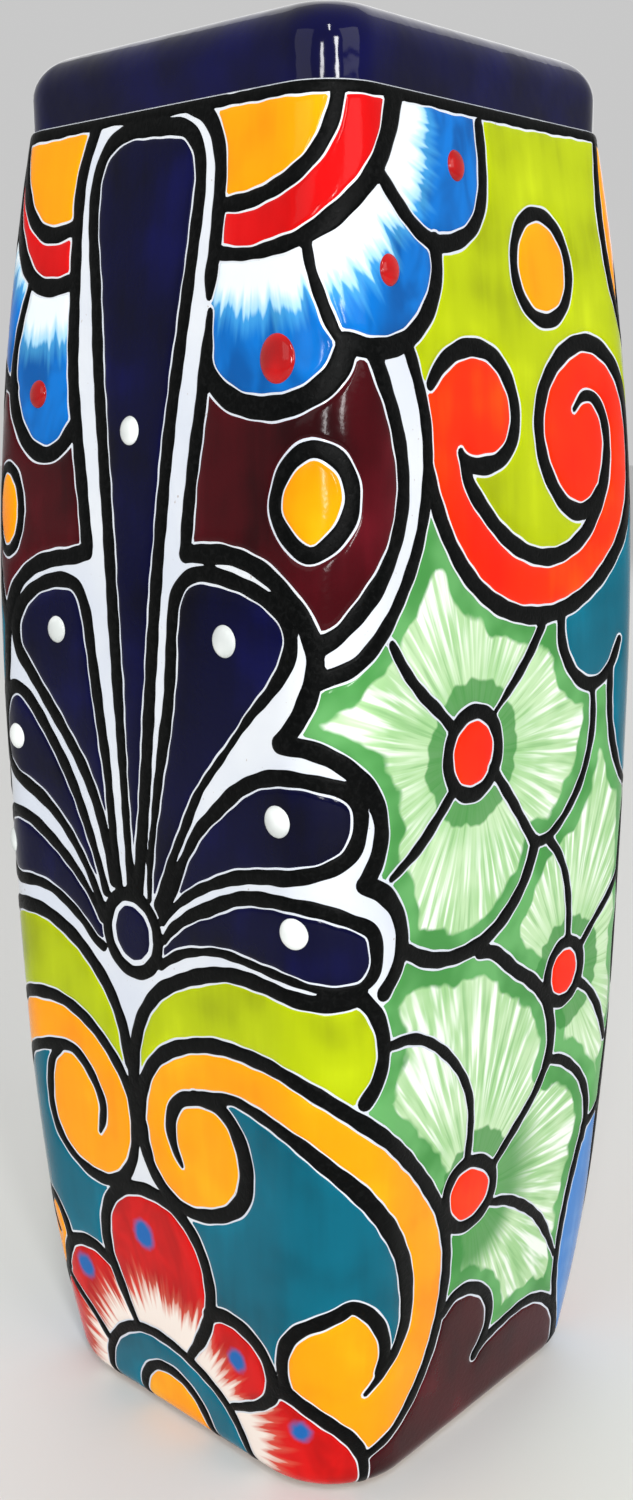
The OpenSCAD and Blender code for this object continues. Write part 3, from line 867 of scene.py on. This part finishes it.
def coatMesh(name, patches, levels, rises, turns, border=None):
    # Closed shells over the patches, once for each turn round the ware, still flat.
    rows, faces, flat, comb, edge, rim = [], [], [], [], [], []
    for (places, triangles, depth), combing in patches:
        count = len(places)
        sides = {(t[k], t[(k + 1) % 3]) for t in triangles for k in range(3)}
        rims = sorted((a, b) for a, b in sides if (b, a) not in sides)
        top = np.interp(depth, levels, rises)
        for turn in turns:
            first = len(flat)
            for stand in (top, np.full(count, coatings["under"])):
                rows.append(np.column_stack([places + [turn, 0], stand]))
                flat += np.column_stack([places, np.zeros(count)]).tolist()
                comb += np.column_stack([places - combing[:2], np.full(count, combing[2])]).tolist()
                edge += depth.tolist()
                rim += depth.tolist() if border is None else lookUp(border, places).tolist()
            faces += [(first + a, first + b, first + c) for a, b, c in triangles]
            faces += [(first + count + c, first + count + b, first + count + a) for a, b, c in triangles]
            faces += [(first + a, first + count + a, first + count + b, first + b) for a, b in rims]
    mesh = bpy.data.meshes.new(name)
    mesh.from_pydata(np.concatenate(rows).tolist(), [], faces)
    for title, kind, values in (("flat", "FLOAT_VECTOR", flat), ("comb", "FLOAT_VECTOR", comb),
                                ("edge", "FLOAT", edge), ("border", "FLOAT", rim)):
        attribute = mesh.attributes.new(title, kind, "POINT")
        field = "value" if kind == "FLOAT" else "vector"
        attribute.data.foreach_set(field, np.array(values, np.float32).ravel())
    return mesh


def layPaint():
    # Every brush line and every enamel of the design, as flat meshes.
    distance = mapLines()
    print("lines mapped", distance.shape)
    border = mapLines(innerLines, canvas["borderReach"])
    edges = np.minimum(canvas["lineTop"] - heights, heights - canvas["lineBottom"])
    lines = np.minimum(-distance, edges[:, None])
    filled = fillPatch(lines, coatings["lineLevels"], coatings["spacing"], coatings["lineGrid"])
    linePatch = [(filled, (0, 0, 0))]
    meshes = {}
    for name, turn in (("frontLines", 0), ("rearLines", halfTurn)):
        meshes[name] = coatMesh(name, linePatch, coatings["lineLevels"], coatings["lineHeights"], [turn])
    print("lines laid", len(linePatch[0][0][1]), "triangles")
    ripple = 0.14 * np.sin(girths / 3.1) + 0.1 * np.sin(girths / 1.3 + 1) + 0.16 * np.sin(girths / 11 + 2)
    shore = heights[:, None] - canvas["fillBottom"] - ripple
    wander = 0.1 * np.sin(girths / 4.3 + heights[:, None] / 5.9)
    wander = wander + 0.07 * np.sin(girths / 2.1 - heights[:, None] / 1.7)
    room = np.minimum(distance - canvas["gap"] - wander, shore)
    labels = labelPatches(room > 0)
    jobs = {name: [(place, (0, 0, 0)) for place in places] for name, places in enamelPatches.items()}
    jobs |= {name: [(place, (*middle, start)) for place, middle, start in places]
             for name, places in combedPatches.items()}
    taken = {}
    for name, places in jobs.items():
        patches = []
        for (girth, height), combing in places:
            label = labels[round((height - canvas["low"]) / canvas["step"]),
                           round((girth + faceGirth) / canvas["step"]) % columns]
            if not label or label in taken:
                print("no patch of its own for", name, girth, height, taken.get(label))
                continue
            taken[label] = name
            ground = room + canvas["gap"] - canvas["hubGap"] if name == "hub" else room
            ground = np.where((labels == label) | (ground <= 0), ground, -1)
            filled = fillPatch(ground, coatings["fillLevels"], coatings["fillSpacing"], coatings["fillGrid"])
            patches.append((filled, combing))
        turns = [0, halfTurn]
        meshes[name] = coatMesh(name, patches, coatings["fillLevels"], coatings["fillHeights"], turns, border)
        print(name, "laid in", len(patches), "patches")
    return meshes


def shade(red, green, blue):
    # A paint colour as it is seen, made linear for the shader.
    parts = [v / 255 / 12.92 if v <= 10 else ((v / 255 + 0.055) / 1.055) ** 2.4 for v in (red, green, blue)]
    return (*parts, 1)


def startMaterial(name, **sockets):
    material = bpy.data.materials.new(name)
    material.use_nodes = True
    tree = material.node_tree
    surface = tree.nodes["Principled BSDF"]
    for title, value in sockets.items():
        surface.inputs[title.replace("_", " ")].default_value = value
    return material, tree, surface


def read(tree, name, output="Vector"):
    node = tree.nodes.new("ShaderNodeAttribute")
    node.attribute_name = name
    return node.outputs[output]


def addNoise(tree, vector, scale, detail=2.0, roughness=0.5, distortion=0.0):
    node = tree.nodes.new("ShaderNodeTexNoise")
    tree.links.new(vector, node.inputs["Vector"])
    settings = {"Scale": scale, "Detail": detail, "Roughness": roughness, "Distortion": distortion}
    for title, value in settings.items():
        node.inputs[title].default_value = value
    return node.outputs["Fac"]


def addRange(tree, value, low, high, toLow=0.0, toHigh=1.0):
    node = tree.nodes.new("ShaderNodeMapRange")
    node.interpolation_type = "SMOOTHSTEP"
    for title, given in (("Value", value), ("From Min", low), ("From Max", high), ("To Min", toLow),
                         ("To Max", toHigh)):
        feed(tree, node.inputs[title], given)
    return node.outputs[0]


def mixColour(tree, factor, first, second):
    node = tree.nodes.new("ShaderNodeMix")
    node.data_type = "RGBA"
    for number, value in ((0, factor), (6, first), (7, second)):     # the mix node's colour sockets
        feed(tree, node.inputs[number], value)
    return node.outputs[2]


def addBump(tree, surface, height, strength, distance):
    node = tree.nodes.new("ShaderNodeBump")
    node.inputs["Strength"].default_value = strength
    node.inputs["Distance"].default_value = distance
    tree.links.new(height, node.inputs["Height"])
    tree.links.new(node.outputs[0], surface.inputs["Normal"])


def scaled(tree, vector, x, y, z=1.0):
    node = tree.nodes.new("ShaderNodeVectorMath")
    node.operation = "MULTIPLY"
    tree.links.new(vector, node.inputs[0])
    node.inputs[1].default_value = (x, y, z)
    return node.outputs[0]


def readComb(tree):
    # The bearing from a flower's middle, the distance from it, and the patch's own start or radius.
    dx, dz, start = splitXyz(tree, read(tree, "comb"))
    angle = addMath(tree, "ARCTAN2", dz, dx)
    squares = addMath(tree, "MULTIPLY_ADD", dx, dx, addMath(tree, "MULTIPLY", dz, dz))
    return angle, addMath(tree, "SQRT", squares), start


glossy = {"Roughness": 0.14, "Specular_IOR_Level": 0.13}
brushwork = {"cloud": 0.03, "strokeAcross": 0.16, "strokeAlong": 0.02, "strokes": 0.18, "bump": 0.2}


def flatEnamel(name, deep, body, pale):
    # A glaze laid wet with a brush: pooled and thin places, faint strokes along one way.
    material, tree, surface = startMaterial(name, **glossy)
    flat = read(tree, "flat")
    cloud = addNoise(tree, flat, brushwork["cloud"], 2.5)
    drawn = scaled(tree, flat, brushwork["strokeAcross"], brushwork["strokeAlong"])
    strokes = addNoise(tree, drawn, 1.0, 3.0, 0.55, 0.4)
    pooled = addMath(tree, "MULTIPLY_ADD", strokes, brushwork["strokes"],
                     addMath(tree, "MULTIPLY", cloud, 1 - brushwork["strokes"]))
    colour = mixColour(tree, addRange(tree, pooled, 0.3, 0.52), shade(*deep), shade(*body))
    colour = mixColour(tree, addRange(tree, pooled, 0.5, 0.72), colour, shade(*pale))
    thin = addRange(tree, read(tree, "edge", "Fac"), 0.0, 0.45, 0.35, 0.0)
    colour = mixColour(tree, thin, colour, shade(*pale))
    tree.links.new(colour, surface.inputs["Base Color"])
    addBump(tree, surface, addNoise(tree, flat, 0.6, 2.0), brushwork["bump"], 0.0002)
    return material


def combedEnamel(name, deep, body, haze, ground, tooth, dots=()):
    # Colour pulled from a petal's tip towards the flower in tapering strokes over a white ground.
    material, tree, surface = startMaterial(name, **glossy)
    flat = read(tree, "flat")
    angle, radius, start = readComb(tree)
    across = addMath(tree, "MULTIPLY", angle, 22.0)
    toothPlace = joinXyz(tree, across, addMath(tree, "MULTIPLY", radius, 0.035), 3.0)
    teeth = addNoise(tree, toothPlace, 1.0, 1.5, 0.6)
    border = addMath(tree, "MULTIPLY_ADD", addMath(tree, "SUBTRACT", teeth, 0.5), tooth, start)
    past = addMath(tree, "SUBTRACT", radius, border)
    painted = addRange(tree, past, -0.9, 1.1)
    cloud = addNoise(tree, scaled(tree, flat, 0.09, 0.05), 1.0, 2.0, 0.5, 0.6)
    colour = mixColour(tree, addRange(tree, cloud, 0.32, 0.66), shade(*deep), shade(*body))
    colour = mixColour(tree, addRange(tree, past, 0.0, 7.0, 0.42, 0.0), colour, shade(*haze))
    pale = mixColour(tree, addRange(tree, past, -5.5, -0.3, 0.0, 0.62), shade(*ground), shade(*haze))
    colour = mixColour(tree, painted, pale, colour)
    for girth, height, size, tint in dots:
        px, pz, _ = splitXyz(tree, flat)
        across2 = addMath(tree, "POWER", addMath(tree, "SUBTRACT", px, girth), 2.0)
        up2 = addMath(tree, "POWER", addMath(tree, "SUBTRACT", pz, height), 2.0)
        away = addMath(tree, "SQRT", addMath(tree, "ADD", across2, up2))
        away = addMath(tree, "MULTIPLY_ADD", addNoise(tree, flat, 0.35, 1.0), 1.6, away)
        colour = mixColour(tree, addRange(tree, away, size - 0.6, size + 2.2, 1.0, 0.0), colour, shade(*tint))
    tree.links.new(colour, surface.inputs["Base Color"])
    ridges = joinXyz(tree, across, addMath(tree, "MULTIPLY", radius, 0.12), 0.0)
    addBump(tree, surface, addNoise(tree, ridges, 1.0, 2.0), 0.3, 0.0003)
    return material


def greenEnamel():
    # A band of leaf green round each flower, combed inward over pale green and white. It is dark round
    # the flower's middle.
    material, tree, surface = startMaterial("greenEnamel", **glossy)
    flat = read(tree, "flat")
    border = read(tree, "border", "Fac")
    angle, radius, start = readComb(tree)
    across = addMath(tree, "MULTIPLY", angle, 16.0)
    finePlace = joinXyz(tree, across, addMath(tree, "MULTIPLY", radius, 0.03), 5.0)
    fine = addNoise(tree, finePlace, 1.0, 2.0, 0.55, 0.2)
    broad = addNoise(tree, joinXyz(tree, addMath(tree, "MULTIPLY", angle, 3.2), 0.0, 2.0), 1.0, 1.0)
    wave = addNoise(tree, scaled(tree, flat, 0.11, 0.11), 1.0, 1.0)
    reach = addMath(tree, "MULTIPLY_ADD", addMath(tree, "SUBTRACT", wave, 0.5), 8.0, 4.9)
    reach = addMath(tree, "MULTIPLY_ADD", addMath(tree, "SUBTRACT", fine, 0.5), 1.6, reach)
    inside = addRange(tree, addMath(tree, "SUBTRACT", border, reach), -0.6, 0.8)
    outward = addRange(tree, radius, 18.0, 36.0, 0.15, 0.95)
    streak = addMath(tree, "MULTIPLY", addRange(tree, fine, 0.47, 0.64), outward)
    tone = addNoise(tree, scaled(tree, flat, 0.05, 0.05), 1.0, 2.0)
    ground = mixColour(tree, addRange(tree, tone, 0.36, 0.64), shade(158, 202, 142), shade(188, 218, 172))
    pale = mixColour(tree, streak, ground, shade(240, 246, 236))
    pale = mixColour(tree, addRange(tree, fine, 0.3, 0.45, 0.55, 0.0), pale, shade(116, 172, 104))
    leaf = mixColour(tree, addRange(tree, tone, 0.36, 0.64), shade(68, 140, 68), shade(100, 168, 98))
    colour = mixColour(tree, inside, leaf, pale)
    # Dark strokes round the middle: crisp and narrow, or a wide fan that fades outward.
    heart = addMath(tree, "MULTIPLY_ADD", addMath(tree, "SUBTRACT", broad, 0.5), 6.0, radius)
    soft = addMath(tree, "MULTIPLY", addMath(tree, "SUBTRACT", start, 19.0), 0.9)
    soft = addMath(tree, "MAXIMUM", soft, 0.5)
    coreStart = addMath(tree, "SUBTRACT", start, soft)
    coreEnd = addMath(tree, "ADD", start, soft)
    core = addRange(tree, heart, coreStart, coreEnd, 0.85, 0.0)
    colour = mixColour(tree, core, colour, shade(58, 134, 60))
    tree.links.new(colour, surface.inputs["Base Color"])
    addBump(tree, surface, fine, 0.2, 0.0003)
    return material


def blackLine():
    # Manganese outline: drier than the enamels, with the brush's drag in it.
    material, tree, surface = startMaterial("blackOutline", Specular_IOR_Level=0.07)
    flat = read(tree, "flat")
    drag = addNoise(tree, flat, 0.7, 4.0, 0.6, 0.8)
    colour = mixColour(tree, addRange(tree, drag, 0.45, 0.72), shade(1, 2, 2), shade(13, 14, 14))
    tree.links.new(colour, surface.inputs["Base Color"])
    tree.links.new(addRange(tree, drag, 0.35, 0.7, 0.32, 0.5), surface.inputs["Roughness"])
    addBump(tree, surface, drag, 0.45, 0.0003)
    return material


def tinGlaze(name, body, warm):
    # The white glaze under the painting, a little uneven in thickness and colour.
    material, tree, surface = startMaterial(name, Roughness=0.14, Specular_IOR_Level=0.3)
    place = tree.nodes.new("ShaderNodeTexCoord").outputs["Object"]
    cloud = addNoise(tree, place, 22.0, 3.0)
    colour = mixColour(tree, addRange(tree, cloud, 0.35, 0.7), shade(*body), shade(*warm))
    parts = splitXyz(tree, place)
    bare = addMath(tree, "MULTIPLY_ADD", addNoise(tree, place, 120.0, 2.0), 0.003, parts[2])
    colour = mixColour(tree, addRange(tree, bare, 0.0025, 0.0055, 0.75, 0.0), colour, shade(214, 196, 168))
    pits = addNoise(tree, place, 900.0, 1.0)
    colour = mixColour(tree, addRange(tree, pits, 0.74, 0.8, 0.0, 0.5), colour, shade(150, 120, 95))
    tree.links.new(colour, surface.inputs["Base Color"])
    addBump(tree, surface, addNoise(tree, place, 160.0, 2.0), 0.12, 0.0005)
    return material


def cobaltGlaze():
    # Thick cobalt on the lip, nearly black where it pools.
    material, tree, surface = startMaterial("cobaltGlaze", Roughness=0.07, Specular_IOR_Level=0.2)
    place = tree.nodes.new("ShaderNodeTexCoord").outputs["Object"]
    cloud = addNoise(tree, place, 40.0, 2.0, 0.5, 0.3)
    colour = mixColour(tree, addRange(tree, cloud, 0.3, 0.75), shade(0, 0, 30), shade(1, 2, 62))
    tree.links.new(colour, surface.inputs["Base Color"])
    addBump(tree, surface, addNoise(tree, place, 130.0, 2.0), 0.22, 0.0008)
    return material


def clayBody():
    # Fired earthenware, sandy and unglazed.
    material, tree, surface = startMaterial("clayBody", Roughness=0.86)
    place = tree.nodes.new("ShaderNodeTexCoord").outputs["Object"]
    cloud = addNoise(tree, place, 60.0, 4.0)
    grit = addNoise(tree, place, 1400.0, 2.0)
    colour = mixColour(tree, addRange(tree, cloud, 0.35, 0.68), shade(188, 122, 86), shade(212, 158, 118))
    colour = mixColour(tree, addRange(tree, grit, 0.62, 0.74, 0.0, 0.6), colour, shade(120, 74, 52))
    tree.links.new(colour, surface.inputs["Base Color"])
    addBump(tree, surface, grit, 0.5, 0.0004)
    return material


def dropEnamel(name, deep, body):
    material, tree, surface = startMaterial(name, Roughness=0.08, Specular_IOR_Level=0.35)
    place = tree.nodes.new("ShaderNodeTexCoord").outputs["Object"]
    cloud = addNoise(tree, place, 110.0, 1.0)
    colour = mixColour(tree, addRange(tree, cloud, 0.36, 0.66), shade(*deep), shade(*body))
    tree.links.new(colour, surface.inputs["Base Color"])
    addBump(tree, surface, addNoise(tree, place, 500.0, 1.0), 0.15, 0.0003)
    return material


def sectionMesh(name, outline):
    count = len(outline)
    mesh = bpy.data.meshes.new(name)
    ring = [(k, (k + 1) % count) for k in range(count)]
    mesh.from_pydata([(height, depth, 0) for height, depth in outline], ring, [])
    return mesh


def climb(low, high, step):
    return np.linspace(low, high, max(2, round(abs(high - low) / step) + 1))


skin = {
    "glaze": 0.6,
    "lining": 0.5,
    "wall": 7.0,
    "floorTop": 10.0,
    "glazeLow": glazeBox[0].z / mm,
    "footStep": 0.5,
    "step": 3.0,
    "shoulderDrop": 0.25,                 # the glaze's edge under the lip
    "shoulderDepth": 0.3,
}


def buildWhiteGlaze():
    # Outside up to the neck, in over the shoulder to the lip, and back down against the clay.
    foot = climb(skin["glazeLow"], ware["Foot Rounding"], skin["footStep"])
    upright = climb(ware["Foot Rounding"], neckHeight, skin["step"])[1:]
    outside = np.concatenate([foot, upright])
    outline = [(z, 0) for z in outside[:-1]]
    outline += [(neckHeight - skin["shoulderDrop"], 0), (neckHeight, skin["shoulderDepth"])]
    outline += [(neckHeight, skin["glaze"])]
    outline += [(z, skin["glaze"]) for z in outside[-2::-1]]
    material = tinGlaze("whiteGlaze", (208, 214, 225), (222, 226, 231))
    piece = runTree("whiteGlaze", sectionMesh("whiteGlaze", outline), makeSkinTree(), material)
    finishPiece(piece, "white_glaze", "white_glaze")


lipRoll = {
    "outer": 10.0,                        # radius of the outer round
    "uprightStep": 1.6,
    "outerStep": 7,                       # degrees to a segment
    "innerStep": 18,
}


def buildCobaltLip():
    # A rolled lip: upright outside, a wide round over the top, and a tight one into the mouth.
    high, wide, outer = ware["Full Height"], lip["Lip Thickness"], lipRoll["outer"]
    inner = wide - outer

    def roll(inset):
        turns = np.radians(climb(180, 90, lipRoll["outerStep"]))
        points = [(z, inset) for z in climb(neckHeight, high - outer, lipRoll["uprightStep"])[:-1]]
        points += [(high - outer + (outer - inset) * math.sin(t), outer + (outer - inset) * math.cos(t))
                   for t in turns]
        turns = np.radians(climb(90, 0, lipRoll["innerStep"]))[1:]
        points += [(high - inner + (inner - inset) * math.sin(t), outer + (inner - inset) * math.cos(t))
                   for t in turns]
        return points + [(neckHeight, wide - inset)]

    outline = roll(0) + roll(skin["glaze"])[::-1]
    piece = runTree("cobaltLip", sectionMesh("cobaltLip", outline), makeLipTree(), cobaltGlaze())
    finishPiece(piece, "cobalt_glaze", "cobalt_rim_glaze")


lining = {
    "corner": 2.0,                        # radius between the wall and the floor
    "cornerStep": 30,
    "wallStep": 6,
    "floorRings": [15, 25, 40],           # depths into the ware
    "stations": 129,
}


def buildLining():
    # The glaze poured inside: up the wall, and a floor that closes in the middle.
    top, floor, wall, depth = neckHeight, skin["floorTop"], skin["wall"], skin["lining"]
    low, high = floor + depth, floor
    bend = lining["corner"]
    upright = climb(low + bend, top, lining["wallStep"])
    turns = np.radians(climb(0, 90, lining["cornerStep"]))
    corner = [(low + bend - bend * math.sin(t), wall + bend - bend * math.cos(t)) for t in turns]
    outline = [(z, wall) for z in upright[::-1]] + corner[1:]
    inward = [*lining["floorRings"], ware["Belly Half Side"]]
    outline += [(low, depth) for depth in inward] + [(high, depth) for depth in inward[::-1]]
    outline += [(high, wall - depth)]
    outline += [(z, wall - depth) for z in upright]
    material = tinGlaze("liningGlaze", (226, 228, 218), (236, 232, 216))
    piece = runTree("liningGlaze", sectionMesh("liningGlaze", outline), makeSkinTree(), material,
                    {"Stations": lining["stations"]})
    finishPiece(piece, "lining_glaze", "lining_glaze")


def buildDrops():
    tree = makeDropTree()
    finishes = {"white": dropEnamel("whiteDrop", (205, 210, 208), (236, 240, 238)),
                "red": dropEnamel("redDrop", (156, 4, 6), (194, 8, 10))}
    for name, material in finishes.items():
        places = [(girth + turn, height, radius) for turn in (0, halfTurn)
                  for girth, height, radius in dropSettings[name]]
        mesh = bpy.data.meshes.new(name + "Drops")
        mesh.from_pydata([(girth, height, 0) for girth, height, radius in places], [], [])
        attribute = mesh.attributes.new("dropRadius", "FLOAT", "POINT")
        attribute.data.foreach_set("value", [radius for girth, height, radius in places])
        piece = runTree(name + "Drops", mesh, tree, material)
        finishPiece(piece, name + "_enamel", name + "_drops")


def buildPaint():
    blue = (20, 98, 172)
    finishes = {
        "frontLines": ("black_outline", blackLine()),
        "cobalt": ("cobalt_glaze", flatEnamel("cobaltEnamel", (0, 0, 16), (0, 1, 40), (3, 5, 66))),
        "orange": ("orange_enamel", flatEnamel("orangeEnamel", (246, 138, 0), (254, 157, 0), (255, 176, 10))),
        "redRing": ("red_enamel", flatEnamel("redRingEnamel", (180, 2, 2), (208, 8, 10), (230, 32, 30))),
        "wine": ("wine_enamel", flatEnamel("wineEnamel", (36, 1, 4), (62, 3, 10), (92, 12, 24))),
        "lime": ("lime_enamel", flatEnamel("limeEnamel", (140, 152, 0), (174, 190, 0), (200, 216, 14))),
        "coral": ("coral_enamel", flatEnamel("coralEnamel", (248, 28, 0), (255, 42, 0), (255, 76, 0))),
        "teal": ("teal_enamel", flatEnamel("tealEnamel", (0, 76, 94), (0, 96, 118), (2, 116, 142))),
        "leaf": ("blue_enamel", flatEnamel("leafEnamel", (46, 98, 166), (74, 128, 194), (128, 168, 214))),
        "blue": ("blue_enamel", combedEnamel("blueEnamel", (2, 84, 158), (6, 112, 200), (92, 192, 236),
                                             (228, 238, 242), 15)),
        "red": ("red_enamel", combedEnamel("redPetalEnamel", (178, 3, 2), (210, 9, 7), (210, 112, 88),
                                           (242, 230, 220), 24, [
            (-72.5, 61, 4.2, blue), (-104, 39, 3.8, blue), (-35, 36, 3.4, blue), (-11, 22.5, 3.2, blue)])),
        "green": ("green_enamel", greenEnamel()),
    }
    finishes["rearLines"] = finishes["frontLines"]
    finishes["hub"] = finishes["cobalt"]
    tree = makePaintTree()
    for name, mesh in layPaint().items():
        slot, material = finishes[name]
        piece = runTree(name if name.endswith("Lines") else name + "Paint", mesh, tree, material)
        finishPiece(piece, slot)


def finishClay():
    # The clay parts keep their shape and take an earthenware surface.
    material = clayBody()
    for name in ("front_half_wall", "rear_half_wall", "floor_slab", "rim_coil"):
        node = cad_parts[name]
        node.data.materials.clear()
        node.data.materials.append(material)


studio = {
    "cameraPlace": (286.4, -315.3, 287.0),
    "turn": 42.25,
    "pitch": 12.85,
    "yaw": -0.10,
    "roll": -0.35,
    "lens": 36.36,
    "floorSize": 12.0,
    "floorShade": (222, 222, 220),
    "worldStrength": 0.58,
    "aim": (0, 0, 0.2),
    "lights": {
        # azimuth seen from the ware, height above the floor, distance, width and length in metres, power
        "keyLight": (84, 1.1, 1.5, 0.9, 0.9, 5.5),
        "fillLight": (-2, 1.0, 1.6, 0.9, 0.9, 3.0),
        "rearLight": (215, 1.3, 1.8, 2.0, 2.0, 9),
        "rightGlint": (58, 0.7, 1.5, 0.12, 0.34, 7),
        "leftGlint": (32, 0.55, 1.6, 0.12, 0.34, 5.5),
        "topGlint": (46, 1.3, 1.0, 0.06, 0.4, 4),
    },
}


def aimAt(place, target):
    return (Vector(target) - Vector(place)).to_track_quat("-Z", "Y").to_euler()


def buildStudio():
    scene = bpy.context.scene
    scene.view_settings.view_transform = "Standard"
    turn, pitch, yaw, roll = (math.radians(studio[name]) for name in ("turn", "pitch", "yaw", "roll"))
    forward = Vector((math.sin(yaw) * math.cos(pitch), math.cos(yaw) * math.cos(pitch), -math.sin(pitch)))
    forward.rotate(Matrix.Rotation(turn, 3, "Z"))
    right = forward.cross((0, 0, 1)).normalized()
    up = right.cross(forward)
    level = right * math.cos(roll) + up * math.sin(roll)
    upright = up * math.cos(roll) - right * math.sin(roll)
    view = Matrix((level, upright, -forward)).transposed().to_4x4()
    view.translation = Vector(studio["cameraPlace"]) * mm
    cameraData = bpy.data.cameras.new("studioCamera")
    cameraData.lens = studio["lens"]
    cameraData.sensor_width = 36
    cameraData.clip_start = 0.01
    camera = bpy.data.objects.new("studioCamera", cameraData)
    camera.matrix_world = view
    scene.collection.objects.link(camera)
    scene.camera = camera

    half = studio["floorSize"] / 2
    mesh = bpy.data.meshes.new("studioFloor")
    corners = [(-half, -half, 0), (half, -half, 0), (half, half, 0), (-half, half, 0)]
    mesh.from_pydata(corners, [], [(0, 1, 2, 3)])
    floor = bpy.data.objects.new("studioFloor", mesh)
    scene.collection.objects.link(floor)
    material, tree, surface = startMaterial("paleFloor", Roughness=0.7)
    surface.inputs["Base Color"].default_value = shade(*studio["floorShade"])
    mesh.materials.append(material)

    world = bpy.data.worlds.new("studioWorld")
    world.use_nodes = True
    background = world.node_tree.nodes["Background"]
    background.inputs["Color"].default_value = (1.0, 1.0, 1.0, 1)
    background.inputs["Strength"].default_value = studio["worldStrength"]
    scene.world = world
    for name, (azimuth, height, distance, width, length, power) in studio["lights"].items():
        lamp = bpy.data.lights.new(name, "AREA")
        lamp.shape = "RECTANGLE"
        lamp.size = width
        lamp.size_y = length
        lamp.energy = power
        light = bpy.data.objects.new(name, lamp)
        angle = math.radians(azimuth - 90)
        light.location = (distance * math.cos(angle), distance * math.sin(angle), height)
        light.rotation_euler = aimAt(light.location, studio["aim"])
        scene.collection.objects.link(light)


buildStudio()
print("studio set")
buildWhiteGlaze()
buildLining()
buildCobaltLip()
finishClay()
buildDrops()
buildPaint()
print("painted")
